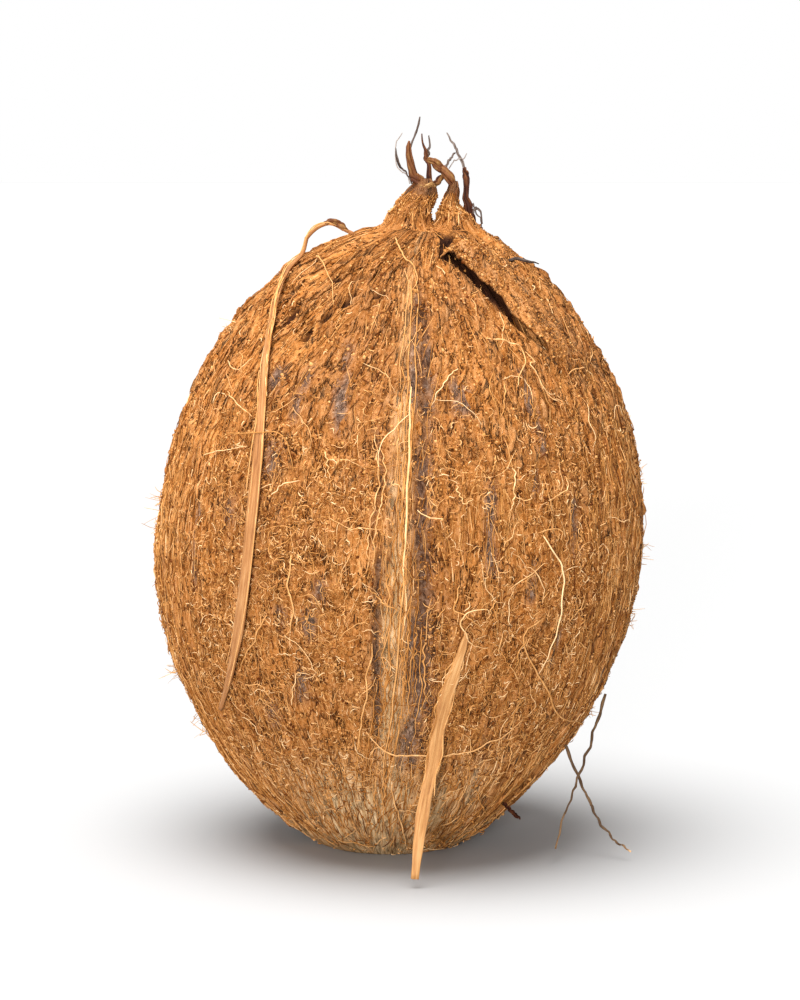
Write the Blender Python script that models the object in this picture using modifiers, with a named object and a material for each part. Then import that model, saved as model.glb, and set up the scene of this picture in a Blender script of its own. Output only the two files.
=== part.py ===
"""A whole coconut, partly husked, with the pinched husk tuft left on its top.

The nut, its matted husk and the tuft grew as one piece and are one solid. Four
loose bits of husk fibre that stand off it are solids of their own: two flat
straps and two wiry fibres. Metres, +Z up, the origin at the centre of the small
flat spot that the nut rests on, and -Y towards the front, where the seam is.
"""
import math

import bmesh
import bpy
from mathutils import Vector

MM = 0.001

# The nut: a turned body on two super-ellipse quarters, one each side of its girth.
GIRTH_RADIUS = 55.2 * MM
GIRTH_HEIGHT = 66.7 * MM
DEPTH_BELOW = 71.9 * MM      # where the lower quarter would close, under the table
RISE_ABOVE = 73.5 * MM
POWER_BELOW = 1.755          # under 2 gives the lower half its straighter flanks
POWER_ABOVE = 2.0
RINGS_BELOW = 17
RINGS_ABOVE = 16
SEGMENTS = 60

# The neck: the husk sweeps up round the stem into a stump that the tuft grows from.
NECK_RADIUS = 7.5 * MM       # of the stump that the flare ends in
NECK_FLARE = 11.0 * MM       # how much wider the flare is at its foot
NECK_HEIGHT = 140.3 * MM     # where half of the flare is gone
NECK_SOFTNESS = 2.2 * MM
NECK_FOOT = 136.0 * MM       # the rings are closer together from here up
NECK_TOP = 141.2 * MM
NECK_RINGS = 4
STUMP_DOME = 0.8 * MM
BLEND_POWER = 4.0            # how sharply the flare and the body meet

# How the nut differs from a turned shape.
LEAN_PER_MM = 0.034          # the axis leans to +X as it rises from the flat spot
NECK_SHIFT = 6.4 * MM        # the tuft was pulled further over to +X
NECK_SHIFT_FROM = 132.0 * MM
NECK_SHIFT_TO = 149.0 * MM
LOBE_DEPTH = 0.012           # the three low ridges of a coconut, as a share of the radius
SEAM_AZIMUTH = 2.0           # degrees from -Y towards +X, the ridge that faces front
FLAP_RISE = 1.5 * MM         # the loosened tongue of husk on the right shoulder
FLAP_AZIMUTH = 78.0
FLAP_HALF_ANGLE = 46.0
FLAP_HEIGHT = 124.0 * MM
FLAP_HALF_HEIGHT = 20.0 * MM

# Loose pieces keep this much air to the nut.
CLEARANCE = 0.35 * MM
STRAP_THICKNESS = 0.7 * MM
STRAY_RADIUS = 0.3 * MM
ROUTE_STEPS = 3              # points that a smooth route has from one hand-set point to the next


def ease(low, high, value):
    """0 up to low, 1 from high, and a smooth step between them."""
    share = min(max((value - low) / (high - low), 0.0), 1.0)
    return share * share * (3.0 - 2.0 * share)


def radius_at(height):
    """Radius of the turned nut: two super-ellipse quarters, blended with the neck's flare."""
    if height < GIRTH_HEIGHT:
        reach, power = DEPTH_BELOW, POWER_BELOW
    else:
        reach, power = RISE_ABOVE, POWER_ABOVE
    share = min(abs(height - GIRTH_HEIGHT) / reach, 1.0)
    body = GIRTH_RADIUS * (1.0 - share ** power) ** (1.0 / power)
    if height < GIRTH_HEIGHT:
        return body
    neck = NECK_RADIUS + NECK_FLARE / (1.0 + math.exp((height - NECK_HEIGHT) / NECK_SOFTNESS))
    return (body ** BLEND_POWER + neck ** BLEND_POWER) ** (1.0 / BLEND_POWER)


def lean_at(height):
    """Sideways place of the nut's axis at a height."""
    shift = NECK_SHIFT * ease(NECK_SHIFT_FROM, NECK_SHIFT_TO, height)
    return LEAN_PER_MM * height + shift


def on_husk(azimuth, height, lift):
    """Point over the husk: degrees from -Y towards +X, then height and lift in mm."""
    turn = math.radians(azimuth)
    reach = radius_at(height * MM) + lift * MM
    return Vector((lean_at(height * MM) + reach * math.sin(turn), -reach * math.cos(turn), height * MM))


def place(x, y, z):
    """Point in space, in mm."""
    return Vector((x, y, z)) * MM


def new_object(name, mesh, collection):
    obj = bpy.data.objects.new(name, mesh)
    collection.objects.link(obj)
    return obj


def new_material(name, colour, roughness):
    material = bpy.data.materials.new(name)
    material.use_nodes = True
    shader = material.node_tree.nodes["Principled BSDF"]
    shader.inputs["Base Color"].default_value = (*colour, 1.0)
    shader.inputs["Roughness"].default_value = roughness
    shader.inputs["Metallic"].default_value = 0.0
    return material


def to_mesh_object(source, name, collection):
    """A welded mesh object of what the modifiers or the curve of source make."""
    graph = bpy.context.evaluated_depsgraph_get()
    graph.update()
    mesh = bpy.data.meshes.new_from_object(source.evaluated_get(graph))
    shape = bmesh.new()
    shape.from_mesh(mesh)
    bmesh.ops.remove_doubles(shape, verts=shape.verts, dist=0.00001)
    shape.to_mesh(mesh)
    shape.free()
    result = new_object(name, mesh, collection)
    result.matrix_world = source.matrix_world
    bpy.data.objects.remove(source)
    return result


def nut_profile():
    """(radius, height) down the outer side, from the stump's top to the flat spot."""
    points = [(0.0, NECK_TOP + STUMP_DOME), (0.6 * radius_at(NECK_TOP), NECK_TOP + 0.7 * STUMP_DOME)]
    for step in range(NECK_RINGS):
        height = NECK_TOP + (NECK_FOOT - NECK_TOP) * step / NECK_RINGS
        points.append((radius_at(height), height))
    foot_turn = math.asin((NECK_FOOT - GIRTH_HEIGHT) / RISE_ABOVE)
    for step in range(RINGS_ABOVE + 1):
        height = GIRTH_HEIGHT + RISE_ABOVE * math.sin(foot_turn * (1.0 - step / RINGS_ABOVE))
        points.append((radius_at(height), height))
    for step in range(1, RINGS_BELOW + 1):
        height = GIRTH_HEIGHT * (1.0 - math.sin(0.5 * math.pi * step / RINGS_BELOW))
        points.append((radius_at(height), height))
    points.append((0.0, 0.0))
    return points


def grown_out_of_round(point):
    """Moves a point of the turned nut to where it grew: lobes, husk flap and lean."""
    azimuth = math.degrees(math.atan2(point.x, -point.y))
    radius = math.hypot(point.x, point.y)
    upright = ease(0.0, 25.0 * MM, point.z) * (1.0 - ease(120.0 * MM, 138.0 * MM, point.z))
    lobes = LOBE_DEPTH * math.cos(math.radians(3.0 * (azimuth - SEAM_AZIMUTH))) * upright
    off_flap = math.hypot(
        (azimuth - FLAP_AZIMUTH) / FLAP_HALF_ANGLE,
        (point.z - FLAP_HEIGHT) / FLAP_HALF_HEIGHT,
    )
    flap = FLAP_RISE * (1.0 - ease(0.55, 1.0, off_flap))
    if radius > 0.0:
        scale = 1.0 + lobes + flap / radius
        point.x *= scale
        point.y *= scale
    point.x += lean_at(point.z)
    return point


def make_nut(parts):
    """The turned profile, screwed round +Z and then grown out of round."""
    outline = bpy.data.meshes.new("coconut_outline")
    profile = nut_profile()
    outline.from_pydata(
        [(radius, 0.0, height) for radius, height in profile],
        [(step, step + 1) for step in range(len(profile) - 1)],
        [],
    )
    turned = new_object("coconut_turned", outline, parts)
    screw = turned.modifiers.new("turn", "SCREW")
    screw.axis = "Z"
    screw.angle = 2.0 * math.pi
    screw.steps = SEGMENTS
    screw.render_steps = SEGMENTS
    screw.use_merge_vertices = True
    screw.merge_threshold = 0.00001
    nut = to_mesh_object(turned, "coconut", parts)
    for vertex in nut.data.vertices:
        vertex.co = grown_out_of_round(vertex.co.copy())
    return nut


def make_tube(name, route, radii, sides_step, collection):
    """A tapered tube: a curve through hand-set points, with a radius at each."""
    curve = bpy.data.curves.new(name + "_curve", "CURVE")
    curve.dimensions = "3D"
    curve.bevel_depth = 1.0
    curve.bevel_resolution = sides_step
    curve.resolution_u = ROUTE_STEPS
    curve.use_fill_caps = True
    spline = curve.splines.new("BEZIER")
    spline.bezier_points.add(len(route) - 1)
    for knot, point, radius in zip(spline.bezier_points, route, radii):
        knot.co = point
        knot.radius = radius
        knot.handle_left_type = "AUTO"
        knot.handle_right_type = "AUTO"
    return to_mesh_object(new_object(name + "_route", curve, collection), name, collection)


# The tuft: (x, y, z, radius) in mm, root first. Roots start inside the stump.
TUFT = {
    "lobe_left": [
        (3.4, -0.6, 134.0, 8.0), (3.4, -0.6, 138.6, 7.0), (3.9, -0.6, 142.2, 5.5),
        (5.7, -0.4, 145.2, 4.2), (6.8, -0.2, 147.6, 3.4), (8.2, 0.0, 150.0, 2.2),
    ],
    "lobe_right": [
        (15.4, 1.4, 134.0, 7.6), (15.3, 1.3, 139.8, 6.0), (15.1, 1.0, 142.6, 4.5),
        (14.3, 0.6, 145.2, 2.5), (14.0, 0.3, 147.6, 1.6), (14.3, 0.2, 149.8, 1.0),
    ],
    "lobe_back": [
        (8.8, 4.4, 134.0, 7.5), (9.0, 4.2, 140.6, 5.4), (9.4, 3.4, 144.8, 2.8), (9.8, 2.6, 148.6, 1.1),
    ],
    "strand_left": [
        (8.0, 0.0, 148.2, 1.9), (6.0, -0.2, 151.8, 1.3), (4.2, -0.4, 156.0, 0.9), (3.8, -0.4, 159.4, 0.3),
    ],
    "strand_thin": [
        (9.2, 0.6, 148.2, 1.2), (8.8, 0.8, 152.6, 0.6), (8.2, 0.8, 156.4, 0.5), (7.8, 0.8, 160.0, 0.25),
    ],
    "strand_arched": [
        (14.2, 0.2, 148.0, 1.3), (14.8, 0.2, 150.4, 1.3), (12.8, 0.4, 153.4, 1.2), (9.4, 0.5, 156.0, 0.6),
    ],
    "strand_dark": [
        (18.6, 0.6, 138.0, 2.4), (18.0, 0.6, 143.6, 1.5), (17.1, 0.6, 148.6, 0.9),
        (17.0, 0.6, 151.6, 1.0), (15.6, 0.6, 155.6, 0.6), (12.8, 0.6, 161.0, 0.25),
    ],
    "wisp_tall": [
        (4.4, -0.3, 155.0, 0.4), (5.0, -0.3, 159.2, 0.3), (5.8, -0.3, 162.0, 0.3), (6.9, -0.3, 165.6, 0.25),
    ],
}


def add_tuft(nut, cutters):
    """Grows each strand out of the nut with a Boolean union."""
    for name, knots in TUFT.items():
        route = [place(x, y, z) for x, y, z, radius in knots]
        radii = [radius * MM for x, y, z, radius in knots]
        strand = make_tube(name, route, radii, 2 if name.startswith("lobe") else 1, cutters)
        strand.hide_render = True
        strand.display_type = "WIRE"
        union = nut.modifiers.new(name, "BOOLEAN")
        union.operation = "UNION"
        union.solver = "EXACT"
        union.object = strand


def smooth_route(knots):
    """Catmull-Rom points through (point, width) knots, ROUTE_STEPS to each span."""
    points, widths = [], []
    last = len(knots) - 1
    for span in range(last):
        before, start, end, after = (
            knots[max(span - 1, 0)], knots[span], knots[span + 1], knots[min(span + 2, last)]
        )
        steps = ROUTE_STEPS + 1 if span == last - 1 else ROUTE_STEPS
        for step in range(steps):
            t = step / ROUTE_STEPS
            bend = (2.0 * before[0] - 5.0 * start[0] + 4.0 * end[0] - after[0]) * t * t
            turn = (3.0 * start[0] - before[0] - 3.0 * end[0] + after[0]) * t ** 3
            points.append(0.5 * (2.0 * start[0] + (end[0] - before[0]) * t + bend + turn))
            widths.append(start[1] + (end[1] - start[1]) * t)
    return points, widths


def make_strap(name, knots, parts):
    """A flat strap: a ribbon that faces away from the nut's axis, given its thickness."""
    points, widths = smooth_route(knots)
    shape = bmesh.new()
    pairs = []
    for step, (point, width) in enumerate(zip(points, widths)):
        along = points[min(step + 1, len(points) - 1)] - points[max(step - 1, 0)]
        outward = Vector((point.x - lean_at(point.z), point.y, 0.0))
        across = along.cross(outward).normalized() * 0.5 * width * MM
        pairs.append((shape.verts.new(point - across), shape.verts.new(point + across)))
    for (left, right), (next_left, next_right) in zip(pairs, pairs[1:]):
        shape.faces.new((left, next_left, next_right, right))
    mesh = bpy.data.meshes.new(name)
    shape.to_mesh(mesh)
    shape.free()
    strap = new_object(name, mesh, parts)
    wall = strap.modifiers.new("thickness", "SOLIDIFY")
    wall.thickness = STRAP_THICKNESS
    wall.offset = 0.0
    return strap


LYING = (CLEARANCE + STRAP_THICKNESS) / MM     # lift in mm of a strap that lies on the husk

# The left strap loops off the shoulder, then lies down the side: (point, width in mm).
STRAP_LEFT = [
    (place(-7.8, -8.0, 140.0), 0.9),
    (place(-10.0, -8.0, 140.6), 1.3),
    (place(-12.6, -8.0, 141.8), 1.0),
    (place(-15.6, -8.0, 141.0), 0.9),
    (place(-18.1, -8.2, 138.2), 1.0),
    (place(-20.0, -8.6, 135.2), 1.1),
    (on_husk(-74.0, 131.0, LYING + 0.6), 1.4),
    (on_husk(-54.0, 125.6, LYING + 0.4), 1.9),
    (on_husk(-45.8, 116.7, LYING), 2.1),
    (on_husk(-40.0, 105.5, LYING), 2.4),
    (on_husk(-37.4, 93.0, LYING), 2.7),
    (on_husk(-36.2, 80.0, LYING), 2.7),
    (on_husk(-36.5, 66.0, LYING), 2.6),
    (on_husk(-39.6, 54.0, LYING), 2.2),
    (on_husk(-44.8, 44.2, LYING), 1.6),
    (on_husk(-51.6, 36.8, LYING), 0.8),
]

# The front strap leaves the husk under the girth and hangs clear to just over the table.
STRAP_FRONT = [
    (on_husk(15.4, 57.6, LYING), 0.8),
    (on_husk(14.4, 52.8, LYING), 1.9),
    (on_husk(12.6, 45.4, LYING), 2.7),
    (on_husk(11.4, 37.2, LYING + 0.1), 3.0),
    (place(9.6, -47.0, 28.0), 2.8),
    (place(7.8, -47.4, 19.4), 2.6),
    (place(6.6, -47.6, 11.4), 2.2),
    (place(5.6, -47.8, 2.2), 1.5),
]

# Two wiry fibres hang free under the right side, points in mm.
STRAY_UPPER = [
    (49.0, -9.0, 35.4), (47.2, -12.0, 30.2), (43.5, -18.0, 21.0), (40.1, -22.6, 13.0), (37.1, -26.0, 3.6),
]
STRAY_LOWER = [
    (39.7, -14.2, 24.8), (41.6, -15.0, 20.0), (43.8, -15.8, 15.4), (46.4, -17.4, 9.6), (50.0, -20.0, 4.8),
    (54.2, -23.0, 2.2),
]


def make_stray(name, route, parts):
    """A wiry fibre of one thickness, from the husk to its free end."""
    points = [place(*point) for point in route]
    return make_tube(name, points, [STRAY_RADIUS] * len(points), 1, parts)


def build():
    for obj in list(bpy.data.objects):
        bpy.data.objects.remove(obj, do_unlink=True)
    parts = bpy.data.collections.new("coconut")
    cutters = bpy.data.collections.new("tuft_strands")
    bpy.context.scene.collection.children.link(parts)
    bpy.context.scene.collection.children.link(cutters)

    nut = make_nut(parts)
    add_tuft(nut, cutters)
    nut.data.materials.append(new_material("coir_husk", (0.42, 0.20, 0.085), 0.9))
    nut.data.shade_smooth()
    nut.data.set_sharp_from_angle(angle=math.radians(50.0))

    for name, knots in (("strap_left", STRAP_LEFT), ("strap_front", STRAP_FRONT)):
        strap = make_strap(name, knots, parts)
        strap.data.materials.append(new_material(name + "_straw", (0.66, 0.38, 0.17), 0.7))
        strap.data.shade_smooth()
        strap.data.set_sharp_from_angle(angle=math.radians(40.0))

    for name, route in (("stray_fibre_upper", STRAY_UPPER), ("stray_fibre_lower", STRAY_LOWER)):
        stray = make_stray(name, route, parts)
        stray.data.materials.append(new_material(name + "_coir", (0.16, 0.10, 0.06), 0.6))
        stray.data.shade_smooth()


build()
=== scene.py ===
# %% [markdown]
# # A partly husked coconut
# A coconut as it reaches the kitchen still wears part of its husk: a felt of coir fibre over the hard shell,
# flaky plates of dried husk on the shoulders, and a pinched tuft where the stem was.
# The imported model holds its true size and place. This lesson grows the looks around it, in the same frame:
# one relief-carved skin for the husk, then thousands of real fibres, plates, straps and strands on top.

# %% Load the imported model
import math

import bpy
import numpy as np
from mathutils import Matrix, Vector


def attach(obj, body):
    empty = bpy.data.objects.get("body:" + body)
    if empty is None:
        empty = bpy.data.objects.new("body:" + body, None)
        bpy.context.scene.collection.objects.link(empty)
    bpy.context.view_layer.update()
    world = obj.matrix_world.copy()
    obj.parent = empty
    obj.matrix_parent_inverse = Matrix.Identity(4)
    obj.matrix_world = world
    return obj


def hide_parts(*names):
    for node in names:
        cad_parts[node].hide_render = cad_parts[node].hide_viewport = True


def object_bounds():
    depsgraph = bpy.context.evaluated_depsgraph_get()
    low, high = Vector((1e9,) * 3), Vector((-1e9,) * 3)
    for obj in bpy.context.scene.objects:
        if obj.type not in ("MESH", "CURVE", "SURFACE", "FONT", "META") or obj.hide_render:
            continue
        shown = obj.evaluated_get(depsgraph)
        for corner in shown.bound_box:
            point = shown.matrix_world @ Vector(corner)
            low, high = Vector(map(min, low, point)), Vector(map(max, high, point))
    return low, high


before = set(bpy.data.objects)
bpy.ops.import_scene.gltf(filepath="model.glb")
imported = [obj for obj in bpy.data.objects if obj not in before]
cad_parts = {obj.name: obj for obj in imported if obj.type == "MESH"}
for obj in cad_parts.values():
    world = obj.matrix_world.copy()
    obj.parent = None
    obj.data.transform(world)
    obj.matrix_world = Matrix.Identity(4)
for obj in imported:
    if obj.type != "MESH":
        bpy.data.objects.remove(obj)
cad_box = [list(corner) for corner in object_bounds()]
print("CAD box in mm:", [[round(1000 * value, 1) for value in corner] for corner in cad_box])

# %% [markdown]
# ## The nut as a formula
# Every piece below lies on the husk, so the husk is written once as a formula that any piece can ask.
# The outline could be traced as a list of points, but two super-ellipse quarters need only six numbers and
# stay smooth at any density. A point of the husk has two coordinates: its turn round the axis, in radians
# from the front (-Y) towards +X, and its climb, the distance walked up the outline from the flat spot, in mm.

# %% The outline and the axis
MM = 0.001
GIRTH_RADIUS, GIRTH_HEIGHT = 55.2, 66.7
DEPTH_BELOW, POWER_BELOW = 71.9, 1.755
RISE_ABOVE, POWER_ABOVE = 73.5, 2.0
NECK_RADIUS, NECK_FLARE, NECK_HEIGHT, NECK_SOFTNESS = 7.5, 11.0, 140.3, 2.2
NECK_TOP, STUMP_DOME = 139.8, 0.3
LEAN, NECK_SHIFT = 0.034, 6.4


def ease(low, high, value):
    """0 up to low, 1 from high, and 3t^2 - 2t^3 between them."""
    share = np.clip((value - low) / (high - low), 0.0, 1.0)
    return share * share * (3.0 - 2.0 * share)


def outline_radius(height):
    """Super-ellipse radius R (1 - t^n)^(1/n) below and above the girth, met by the neck's flare on top."""
    below = height < GIRTH_HEIGHT
    share = np.abs(height - GIRTH_HEIGHT) / np.where(below, DEPTH_BELOW, RISE_ABOVE)
    power = np.where(below, POWER_BELOW, POWER_ABOVE)
    body = GIRTH_RADIUS * np.clip(1.0 - np.minimum(share, 1.0) ** power, 0.0, 1.0) ** (1.0 / power)
    neck = NECK_RADIUS + NECK_FLARE / (1.0 + np.exp((height - NECK_HEIGHT) / NECK_SOFTNESS))
    return np.where(below, body, (body ** 4 + neck ** 4) ** 0.25)


def axis_shift(height):
    """How far the axis has leant to +X at a height: a straight lean, and an extra pull at the neck."""
    return LEAN * height + NECK_SHIFT * ease(132.0, 149.0, height)


def outline_table():
    """The outline from the middle of the flat spot to the top: climb, radius, height and its outward normal."""
    side_height = np.linspace(0.0, NECK_TOP, 1200)
    side = outline_radius(side_height)
    flat = np.linspace(0.0, side[0], 60)[:-1]
    dome = np.linspace(1.0, 0.0, 60)[1:]
    radius = np.concatenate([flat, side, side[-1] * dome])
    height = np.concatenate([0 * flat, side_height, NECK_TOP + STUMP_DOME * np.sqrt(1.0 - dome ** 2)])
    steps = np.hypot(np.diff(radius), np.diff(height))
    climb = np.concatenate([[0.0], np.cumsum(steps)]) - side[0]
    even = np.arange(climb[0], climb[-1], 0.25)
    radius, height = np.interp(even, climb, radius), np.interp(even, climb, height)
    window = np.ones(9) / 9.0
    along_radius = np.convolve(np.gradient(radius, even), window, "same")
    along_height = np.convolve(np.gradient(height, even), window, "same")
    size = np.hypot(along_radius, along_height)
    return even, radius, height, along_height / size, -along_radius / size


CLIMB, RADIUS, HEIGHT, OUT, UP = outline_table()
TOP_CLIMB = CLIMB[-1]
print("flat spot radius", round(float(-CLIMB[0]), 1), "mm, climb from it to the top", round(float(TOP_CLIMB), 1))


def climb_at(height):
    """Climb of a height in mm on the side of the nut."""
    side = (CLIMB >= 0.0) & (CLIMB < TOP_CLIMB - NECK_RADIUS)
    return np.interp(height, HEIGHT[side], CLIMB[side])


def height_at(climb):
    """Height in mm of a climb."""
    return np.interp(climb, CLIMB, HEIGHT)


# %% [markdown]
# ## Relief of the husk
# A coconut is never a clean egg. It has three low ridges, its husk swells and sinks, strands run up it like
# shallow cords, and a raised seam divides the front. Sculpting would do, but a sum of named bumps can be read
# and tuned one at a time. Natural unevenness comes from value noise: random heights on a grid of cells,
# blended smoothly, with the cells stretched along the strands.

# %% Noise and places on the husk
NOISE_ROWS = 97


def noise(turn, climb, cells, length, seed):
    """Random heights from -1 to 1 on a grid of cells round the nut, each length mm tall, eased between corners."""
    table = np.random.default_rng(seed).uniform(-1.0, 1.0, (cells, NOISE_ROWS))
    across = (turn / (2.0 * np.pi)) % 1.0 * cells
    along = climb / length + 31.0
    column, row = np.floor(across).astype(int), np.floor(along).astype(int)
    u, v = ease(0.0, 1.0, across - column), ease(0.0, 1.0, along - row)
    left, right = column % cells, (column + 1) % cells
    low, high = row % NOISE_ROWS, (row + 1) % NOISE_ROWS
    bottom = table[left, low] * (1.0 - u) + table[right, low] * u
    top = table[left, high] * (1.0 - u) + table[right, high] * u
    return bottom * (1.0 - v) + top * v


def hump(value, centre, spread):
    """A bell of height 1: exp(-((value - centre) / spread)^2)."""
    return np.exp(-((value - centre) / spread) ** 2)


def degrees_of(turn):
    """Turn as degrees from the front, -180 to 180."""
    return (np.degrees(turn) + 180.0) % 360.0 - 180.0


def seam_azimuth(turn):
    """Degrees from the nearest of the three seams, -60 to 60: the front seam is at 0."""
    return (degrees_of(turn) + 60.0) % 120.0 - 60.0


def fibre_lean(turn, climb):
    """Lean of the fibres from straight up, in radians: left of each seam, on the shoulder, they sweep to the right."""
    return 0.42 * hump(seam_azimuth(turn), -34.0, 24.0) * ease(92.0, 112.0, height_at(climb))


FLAP_EDGE = np.array([
    (15.0, 136.2), (22.5, 135.2), (26.8, 133.5), (30.8, 131.5), (33.8, 129.2), (37.0, 126.0), (40.4, 122.6),
    (43.4, 120.2), (46.3, 116.6), (48.6, 112.6),
])


def below_flap(turn, climb):
    """How far in mm a place is under the free edge of the loosened husk flap; big where the flap isn't."""
    azimuth = degrees_of(turn)
    drop = np.interp(azimuth, FLAP_EDGE[:, 0], FLAP_EDGE[:, 1]) - height_at(climb)
    outside = np.maximum(FLAP_EDGE[0, 0] - azimuth, azimuth - FLAP_EDGE[-1, 0])
    return drop + 4.0 * np.maximum(outside, 0.0)


def flap_gap(turn, climb):
    """1 in the hollow that the lifted flap leaves, 0 away from it; the hollow is widest at 36 degrees."""
    drop, azimuth = below_flap(turn, climb), degrees_of(turn)
    wide = np.interp(azimuth, [15.0, 22.0, 26.0, 30.0, 36.0, 42.0, 47.0], [1.4, 2.4, 3.4, 6.6, 9.0, 5.0, 1.0])
    ends = ease(13.0, 16.0, azimuth) * (1.0 - ease(41.0, 47.0, azimuth))
    return ends * ease(-9.0, -6.0, drop) * (1.0 - ease(0.0, wide, drop)) ** 1.3


# Short cracks: azimuth and height at both ends, and half width in mm.
CRACKS = [
    (19.9, 138.8, 30.9, 136.2, 1.0), (-47.5, 133.6, -30.3, 135.3, 0.9), (-31.0, 135.3, -25.0, 136.2, 1.2),
    (-25.8, 130.2, -19.3, 131.4, 1.0), (-37.5, 130.3, -30.5, 131.3, 0.9), (-47.5, 120.4, -45.0, 125.8, 1.0),
    (-30.9, 121.2, -28.2, 125.0, 0.9), (-27.5, 125.0, -20.0, 127.8, 1.0), (-33.5, 131.8, -22.4, 133.6, 0.8),
    (-35.0, 117.2, -33.8, 121.8, 0.8), (-15.0, 126.8, -8.5, 128.5, 0.7), (36.0, 139.2, 44.0, 138.4, 0.9),
    (56.0, 138.8, 63.0, 137.8, 0.8),
]
crack_rng = np.random.default_rng(9)
for azimuth in range(66, 318, 11):
    height = crack_rng.uniform(100.0, 136.0)
    CRACKS.append((azimuth, height, azimuth + crack_rng.uniform(-6.0, 8.0), height + crack_rng.uniform(1.0, 6.0), 0.7))


def cracks(turn, climb):
    """Depth share of the short cracks: exp(-(distance / width)^2), the width 1 in the middle and 0.3 at the ends."""
    depth = np.zeros_like(np.asarray(turn, float))
    for azimuth_a, height_a, azimuth_b, height_b, half_width in CRACKS:
        low, high = climb_at(height_a), climb_at(height_b)
        radius = np.interp(0.5 * (low + high), CLIMB, RADIUS)
        x, y = np.radians(degrees_of(turn - np.radians(azimuth_a))) * radius, climb - low
        dx, dy = np.radians(azimuth_b - azimuth_a) * radius, high - low
        t = np.clip((x * dx + y * dy) / (dx * dx + dy * dy), 0.0, 1.0)
        away = np.hypot(x - dx * t, y - dy * t + 0.35 * np.sin(9.0 * t + azimuth_a))
        depth = np.maximum(depth, np.exp(-(away / (1.3 * half_width * (0.3 + 0.7 * np.sin(np.pi * t)))) ** 2))
    return depth


# %% [markdown]
# The seam is where two of the three husk lobes met. A pale cord of straight fibre runs down it, with a dark
# groove on its right and a thin crooked crack on its left that opens into a second groove lower down.

# %% The relief
def seam_crack(climb):
    """Azimuth in degrees of the crooked crack left of the seam."""
    return -6.0 + 1.1 * np.sin(climb / 5.1) * np.sin(climb / 13.0) + 0.012 * (95.0 - climb)


def grooves(turn, climb):
    """Depth share of the two dark grooves beside the seam: bells across, eased in and out along the climb."""
    azimuth, height = seam_azimuth(turn), height_at(climb)
    right = hump(azimuth, 5.0 + 0.4 * np.sin(climb / 9.0), 1.9) * ease(38, 50, height) * (1 - ease(122, 134, height))
    left = hump(azimuth, -4.7 + 0.3 * np.sin(climb / 7.0), 1.0) * ease(28, 40, height) * (1 - ease(72, 78, height))
    crack = 0.5 * hump(azimuth, seam_crack(climb), 0.6) * ease(72, 78, height) * (1 - ease(98, 103, height))
    return np.maximum(right, np.maximum(left, crack))


def relief(turn, climb):
    """Height of the husk over the turned outline in mm: lobes, seam, swells, cords, clumps, grooves and flap."""
    azimuth, height = seam_azimuth(turn), height_at(climb)
    side = ease(1.0, 9.0, climb) * (1.0 - ease(TOP_CLIMB - 12.0, TOP_CLIMB - 3.0, climb))
    lobes = 0.65 * np.cos(3.0 * (turn - np.radians(2.0))) * (1.0 - ease(118.0, 136.0, height))
    seam = 0.75 * hump(azimuth, 0.5, 3.6) * (1.0 - ease(130.0, 140.0, height))
    swell = 0.55 * noise(turn, climb, 14, 26.0, 1) + 0.3 * noise(turn, climb, 30, 13.0, 2)
    cords = 0.34 * noise(turn, climb, 130, 21.0, 3) + 0.2 * noise(turn, climb, 240, 9.0, 4)
    clumps = 0.3 * noise(turn, climb, 110, 3.2, 5) + 0.2 * noise(turn, climb, 200, 1.9, 6)
    shoulder = ease(84.0, 112.0, height)
    plates = 0.42 * shoulder * np.abs(noise(turn + 0.012 * climb, climb, 90, 11.0, 7))
    knob = 1.5 * hump(degrees_of(turn), 18.0, 4.5) * hump(height, 137.0, 1.7)
    hollow = 1.7 * flap_gap(turn, climb) + 1.15 * grooves(turn, climb) + 1.5 * cracks(turn, climb)
    return side * (lobes + seam + swell + cords + clumps + plates - hollow) + knob


def husk_point(turn, climb, lift=0.0):
    """Points over the husk: the outline's place, moved along its normal by relief plus lift, then leant to +X."""
    turn, climb, lift = np.broadcast_arrays(turn, climb, lift)
    out = np.interp(climb, CLIMB, OUT)
    rise = relief(turn, climb) + lift
    radius = np.interp(climb, CLIMB, RADIUS) + out * rise
    height = height_at(climb) + np.interp(climb, CLIMB, UP) * rise
    return np.stack([axis_shift(height) + radius * np.sin(turn), -radius * np.cos(turn), height], axis=-1)


def husk_normal(turn, climb):
    """Outward direction of the turned outline."""
    turn, climb = np.broadcast_arrays(turn, climb)
    out, up = np.interp(climb, CLIMB, OUT), np.interp(climb, CLIMB, UP)
    return np.stack([out * np.sin(turn), -out * np.cos(turn), up], axis=-1)


# %% [markdown]
# ## Putting arrays into meshes
# All the shapes are worked out as whole arrays, in mm. One function turns points and corner numbers into a
# mesh object in metres, smooth shaded, with any values the material wants to read stored on its points.

# %% One mesh maker
BAKE_MAP = "OFBake"


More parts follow.
